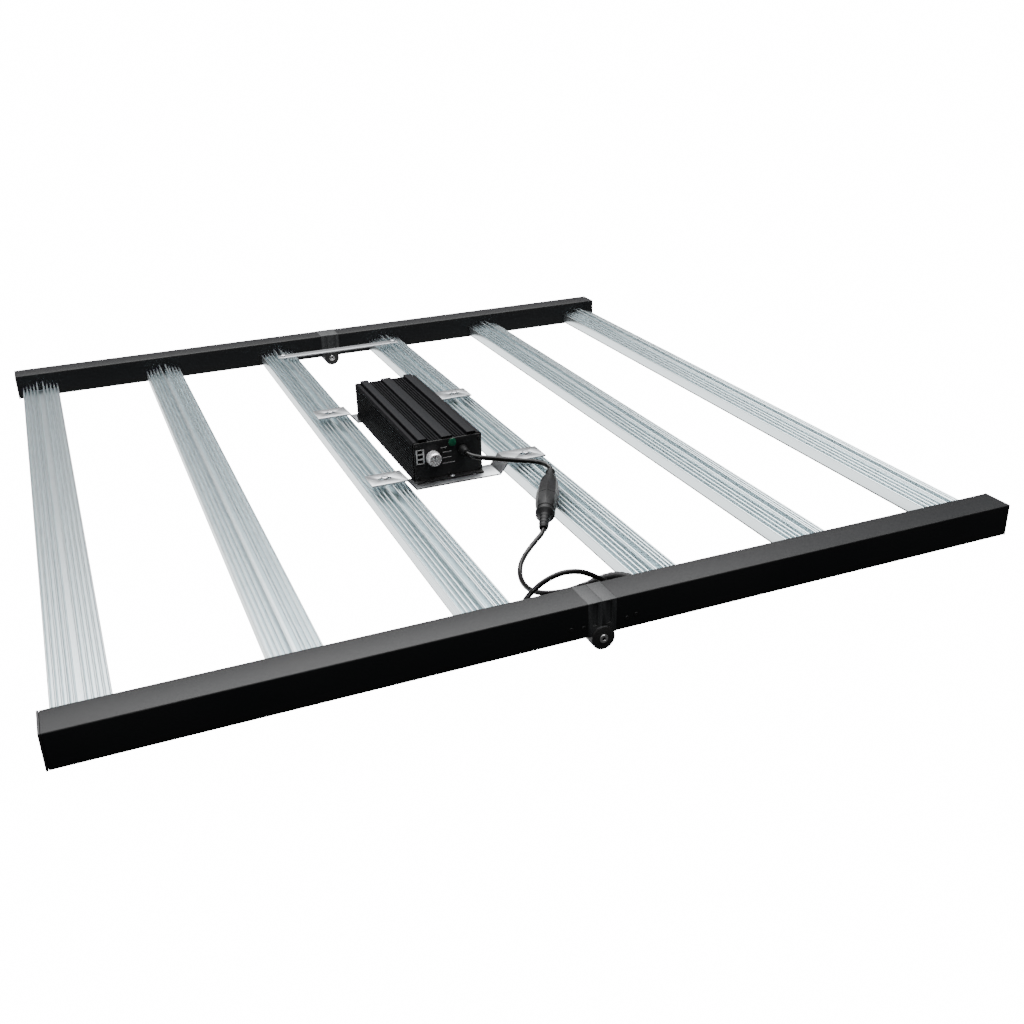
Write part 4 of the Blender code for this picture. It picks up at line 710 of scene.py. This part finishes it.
# %% Driver case
DRIVER_X = -11.0
CASE_HALF, CASE_END = 49.5, 140.7
FOOT, CASE_TOP = -24.7, 32.0
GROOVE_FLOOR = 29.5
BANDS = ((41.0, 28.5, 35.0, 0.6),)
RIB_CENTRES = 28.5 - np.arange(1, 5) * (28.5 - 8.0) / 5
RIB_HALF = 0.8
TEETH = np.arange(12) * 4.1 - 20.6


def case_section():
    """Right half: up the toothed side, over the shoulder, then band, ribs and half the middle strip; then the mirror.
    A tooth is a step in and out again."""
    teeth = np.stack([np.full((len(TEETH), 4), CASE_HALF) - (0, 1.6, 1.6, 0),
                      TEETH[:, None] + (0.0, 0.25, 1.25, 1.5)], -1).reshape(-1, 2)
    ridges = list(BANDS) + [(c + RIB_HALF, c - RIB_HALF, CASE_TOP, 0.3) for c in RIB_CENTRES]
    tops = np.array([[(outer, GROOVE_FLOOR), (outer - slope, height), (inner + slope, height), (inner, GROOVE_FLOOR)]
                     for outer, inner, height, slope in ridges]).reshape(-1, 2)
    side = [(CASE_HALF, FOOT), *teeth, (CASE_HALF, 30.0), (47.5, CASE_TOP), (43.0, CASE_TOP), (43.0, GROOVE_FLOOR)]
    strip = [(8.0, GROOVE_FLOOR), (7.6, 34.0)]
    half = np.vstack([side, tops, strip])
    radius = np.concatenate([[0.5], np.full(len(teeth), 0.12), [0.8, 0.8, 0.4, 0.2],
                             np.full(len(tops), 0.25), [0.2, 0.3]])
    return rounded(np.vstack([half, half[::-1] * (-1, 1)]), np.concatenate([radius, radius[::-1]]), 3)


def case_sheen_paint(x, y, z):
    """Painted sheen: the ribbed top is a little lighter than the sides, where the light above falls, and the band tops
    and the middle strip are lighter again, their own grey with painted sheen on it.
    """
    on_top = np.abs(y) < CASE_END - 0.01
    return on_top * (1 * (z > GROOVE_FLOOR - 0.5) + (z > CASE_TOP + 0.6))


build("driver_shell", [extruded(case_section() + (DRIVER_X, 0), "Y", -CASE_END, CASE_END)],
      [CASE_BLACK, CASE_TOP_SHEEN, CASE_BAND_GREY_AND_SHEEN],
      LEFT, ["driver_case"], crease=40, paint=case_sheen_paint)

# %% Driver end plates and their screws
PLATE_FACE = 143.0
FOOT_SCREW_SIDE = 3.0
PLATE_SCREWS = ((-44.5, -19.5), (44.5, -19.5), (-44.5, 25.5), (44.5, 25.5), (0.0, -19.5))
for row, towards in ROWS.items():
    softened(f"driver_end_plate_{row}", f"driver_plate_{row}", PLATE_BLACK, 0.35)
    seat = towards * (PLATE_FACE - 0.1)
    heads = [screw("Y", (DRIVER_X + x, z), seat, towards, 2.2, 1.1) for x, z in PLATE_SCREWS]
    build(f"driver_plate_screws_{row}", heads, SCREW_BLACK, LEFT)
    place = (DRIVER_X + FOOT_SCREW_SIDE, towards * FOOT_SCREW_Y)
    head = screw("Z", place, FOOT + 2.3, 1, 3.4, 2.0)
    shank = lathe(((-29.2, 1.3), (-28.4, 1.9), (-22.3, 1.9)), "Z", place, 24)
    build(f"driver_foot_bolt_{row}", [head, shank], SCREW_STEEL, LEFT, [f"driver_foot_screw_{row}"])

# %% [markdown]
# The dimmer knob is turned from bright aluminium and knurled round its side. A knurl is a radius that
# goes in and out with the angle, so the knob is a lathe shape whose amount of ripple changes from ring to ring.

# %% Knob, sockets, lamp, gland and inlet
KNOB_AXIS = (-33.9, 8.3)
KNURLS = 30


def knurl(angle):
    """A ridge for each knurl: 1 at its crest and 0.94 at its root."""
    return 1 - 0.03 * (1 - np.cos(KNURLS * angle))


knob_rings = ((-146.3, 3.35), (-143.5, 3.4), (-143.3, 9.0), (-143.5, 9.4), (-144.8, 9.4), (-145.1, 9.8, 0.4),
              (-145.5, 9.8, 1), (-154.0, 9.65, 1), (-154.7, 9.4, 0.5), (-155.2, 9.1), (-156.4, 8.7), (-156.9, 8.3),
              (-157.0, 8.0), (-156.8, 7.6), (-156.8, 0.6))
knob = [lathe(knob_rings, "Y", KNOB_AXIS, KNURLS * 8, knurl)]
knob_x, knob_z = KNOB_AXIS
pointer = [block((knob_x - 0.5, -156.95, knob_z + 2), (knob_x + 0.5, -156.5, knob_z + 7), 0.1)]
build("dimmer_knob_turned", knob + pointer, [KNOB_METAL, POINTER_DARK_AND_HOLE_SHADE], DIMMER, ["dimmer_knob"], crease=30,
      paint=lambda x, y, z: (np.abs(x - knob_x) < 0.55) & (y < -156.85) & (z > knob_z + 1.9))

PORT_MIDDLE = (-51.1, 11.1)
# The socket openings of the port block are painted dark: painted shade in their hollows.
softened("control_ports", "control_port_block", [PORT_GREY, PORT_SHADE], 0.25,
         paint=lambda x, y, z: (np.abs(x - PORT_MIDDLE[0]) < 3.9) & (y > -143.6) & (y < -132.5))
LENS_MIDDLE = (DRIVER_X + 6.5, 25.1)
lens_rings = ((-140.9, 3.0), (-143.3, 3.0), (-143.3, 5.3), (-143.5, 5.6), (-144.1, 5.6), (-144.4, 5.3),
              (-144.35, 4.7), (-144.5, 4.3), (-144.8, 3.3), (-144.95, 2.0), (-145.0, 0.4))
build("status_lamp", [lathe(lens_rings, "Y", LENS_MIDDLE, 40)], LENS_GREEN, LEFT, ["status_lens"])
GLAND_MIDDLE = (9.5, 13.0)
gland_rings = [(-139.0, 5.0), (-143.3, 5.0), (-143.3, 6.1), (-143.6, 6.4), (-146.6, 6.4), (-147.0, 6.0)]
gland_rings += [(-143.0 - place, radius) for place, radius in sleeve(4.1, 16.0, 5.8, 4.6, 4, 0.7)]
build("driver_lead_gland_rubber", [lathe(gland_rings, "Y", GLAND_MIDDLE)], RUBBER_BLACK, LEFT,
      ["driver_lead_gland"])
softened("mains_inlet", "mains_inlet_socket", [PORT_GREY, BRASS], 0.4,
         paint=lambda x, y, z: (np.abs(z - 4.0) < 4.5) & (np.abs(x - DRIVER_X) < 8.5) & (y > 128.0) & (y < 141.0))

# %% [markdown]
# Four short printed marks stand beside the knob, one for each use of the driver. They carry no words.

# %% Marks beside the knob
MARKS = ((-10.7, -1.8, 19.5), (-8.0, 5.0, 12.5), (-8.5, 4.0, 4.5), (-9.0, 9.0, -3.5))
MARK_HALF = 0.45
marks = [block((DRIVER_X + low, -PLATE_FACE - 0.12, z - MARK_HALF), (DRIVER_X + high, -PLATE_FACE + 0.3, z + MARK_HALF),
               0.05) for low, high, z in MARKS]
build("plate_marks", marks, MARK_GREY, LEFT)

# %% Parts inside the driver
for node, material in (("driver_circuit", CIRCUIT_GREEN), ("dimmer_potentiometer", PORT_GREY),
                       ("dimmer_shaft", SCREW_STEEL)):
    NODES[node].data.materials.clear()
    NODES[node].data.materials.append(material)
shown = [name for name, node in NODES.items() if not node.hide_render]
print("solids still showing:", shown)

# %% [markdown]
# ## Floor and light
# Studio light for a black object is mostly a matter of what it reflects. A big soft panel above and behind lays a
# sheen on the tops of the rails. The floor gives little light in front, so the rails' front faces stay dark, and
# more towards the back, which the sides of the bright bars reflect. A small key panel sets the fine highlights.

# %% Floor
FLOOR_HEIGHT = -0.62
WHITE = (1.0, 1.0, 1.0, 1.0)
SEEN = 16.0                                    # strength of floor and sky for the camera: plain white
FLOOR_LIGHT = ((-0.4, 0.06), (0.4, 2.2))       # (place on Y in metres, strength), in front and behind
SKY_LIGHT = ((0.27, 0.05), (0.6, 0.5))         # (height of the direction, strength), low and high


def backdrop(tree, surface, seen, place, axis, front, behind):
    """Emission that the camera sees at one strength. It lights the object at another, which changes evenly from
    front to behind: each is (place on the axis, strength)."""
    parts = tree.nodes.new("ShaderNodeSeparateXYZ")
    tree.links.new(place, parts.inputs["Vector"])
    cast = tree.nodes.new("ShaderNodeMapRange")
    tree.links.new(parts.outputs[axis], cast.inputs["Value"])
    cast.inputs["From Min"].default_value, cast.inputs["To Min"].default_value = front
    cast.inputs["From Max"].default_value, cast.inputs["To Max"].default_value = behind
    strength = tree.nodes.new("ShaderNodeMapRange")
    strength.inputs["To Max"].default_value = seen
    tree.links.new(tree.nodes.new("ShaderNodeLightPath").outputs["Is Camera Ray"], strength.inputs["Value"])
    tree.links.new(cast.outputs["Result"], strength.inputs["To Min"])
    tree.links.new(strength.outputs["Result"], surface.inputs["Strength"])
    surface.inputs["Color"].default_value = WHITE


floor_paint = bpy.data.materials.new("floor_paint")
floor_paint.use_nodes = True
tree = floor_paint.node_tree
tree.nodes.remove(tree.nodes["Principled BSDF"])
glow = tree.nodes.new("ShaderNodeEmission")
backdrop(tree, glow, SEEN, tree.nodes.new("ShaderNodeNewGeometry").outputs["Position"], "Y", *FLOOR_LIGHT)
clear = tree.nodes.new("ShaderNodeBsdfTransparent")
choice = tree.nodes.new("ShaderNodeMixShader")
tree.links.new(tree.nodes.new("ShaderNodeNewGeometry").outputs["Backfacing"], choice.inputs["Fac"])
tree.links.new(glow.outputs["Emission"], choice.inputs[1])
tree.links.new(clear.outputs["BSDF"], choice.inputs[2])
tree.links.new(choice.outputs["Shader"], tree.nodes["Material Output"].inputs["Surface"])
floor_mesh = bpy.data.meshes.new("floor")
reach = 12.0
corners = ((-reach, -reach), (reach, -reach), (reach, reach), (-reach, reach))
floor_mesh.from_pydata([(*corner, FLOOR_HEIGHT) for corner in corners], [], [(0, 1, 2, 3)])
floor_mesh.materials.append(floor_paint)
floor = bpy.data.objects.new("floor", floor_mesh)
bpy.context.scene.collection.objects.link(floor)

# %% Light
world = bpy.data.worlds.new("studio")
world.use_nodes = True
bpy.context.scene.world = world
tree = world.node_tree
backdrop(tree, tree.nodes["Background"], SEEN, tree.nodes.new("ShaderNodeTexCoord").outputs["Generated"], "Z",
         *SKY_LIGHT)


def panel(name, place, size, power):
    """Rectangular area lamp of that size in metres, turned to face the middle of the light."""
    lamp = bpy.data.lights.new(name, "AREA")
    lamp.shape = "RECTANGLE"
    lamp.size, lamp.size_y = size
    lamp.energy = power
    holder = bpy.data.objects.new(name, lamp)
    bpy.context.scene.collection.objects.link(holder)
    holder.matrix_world = Matrix.Translation(place) @ Vector(place).to_track_quat("Z", "Y").to_matrix().to_4x4()


PANELS = (("top_panel", (0.3, 0.3, 2.6), (3.6, 3.0), 230), ("back_panel", (0.5, 3.2, 3.0), (5.0, 1.6), 110),
          ("side_panel", (-3.6, 0.4, 1.6), (2.0, 2.0), 12), ("key_panel", (-1.4, -2.4, 2.6), (0.35, 0.35), 14))
for facts in PANELS:
    panel(*facts)
print(len(PANELS), "panels")
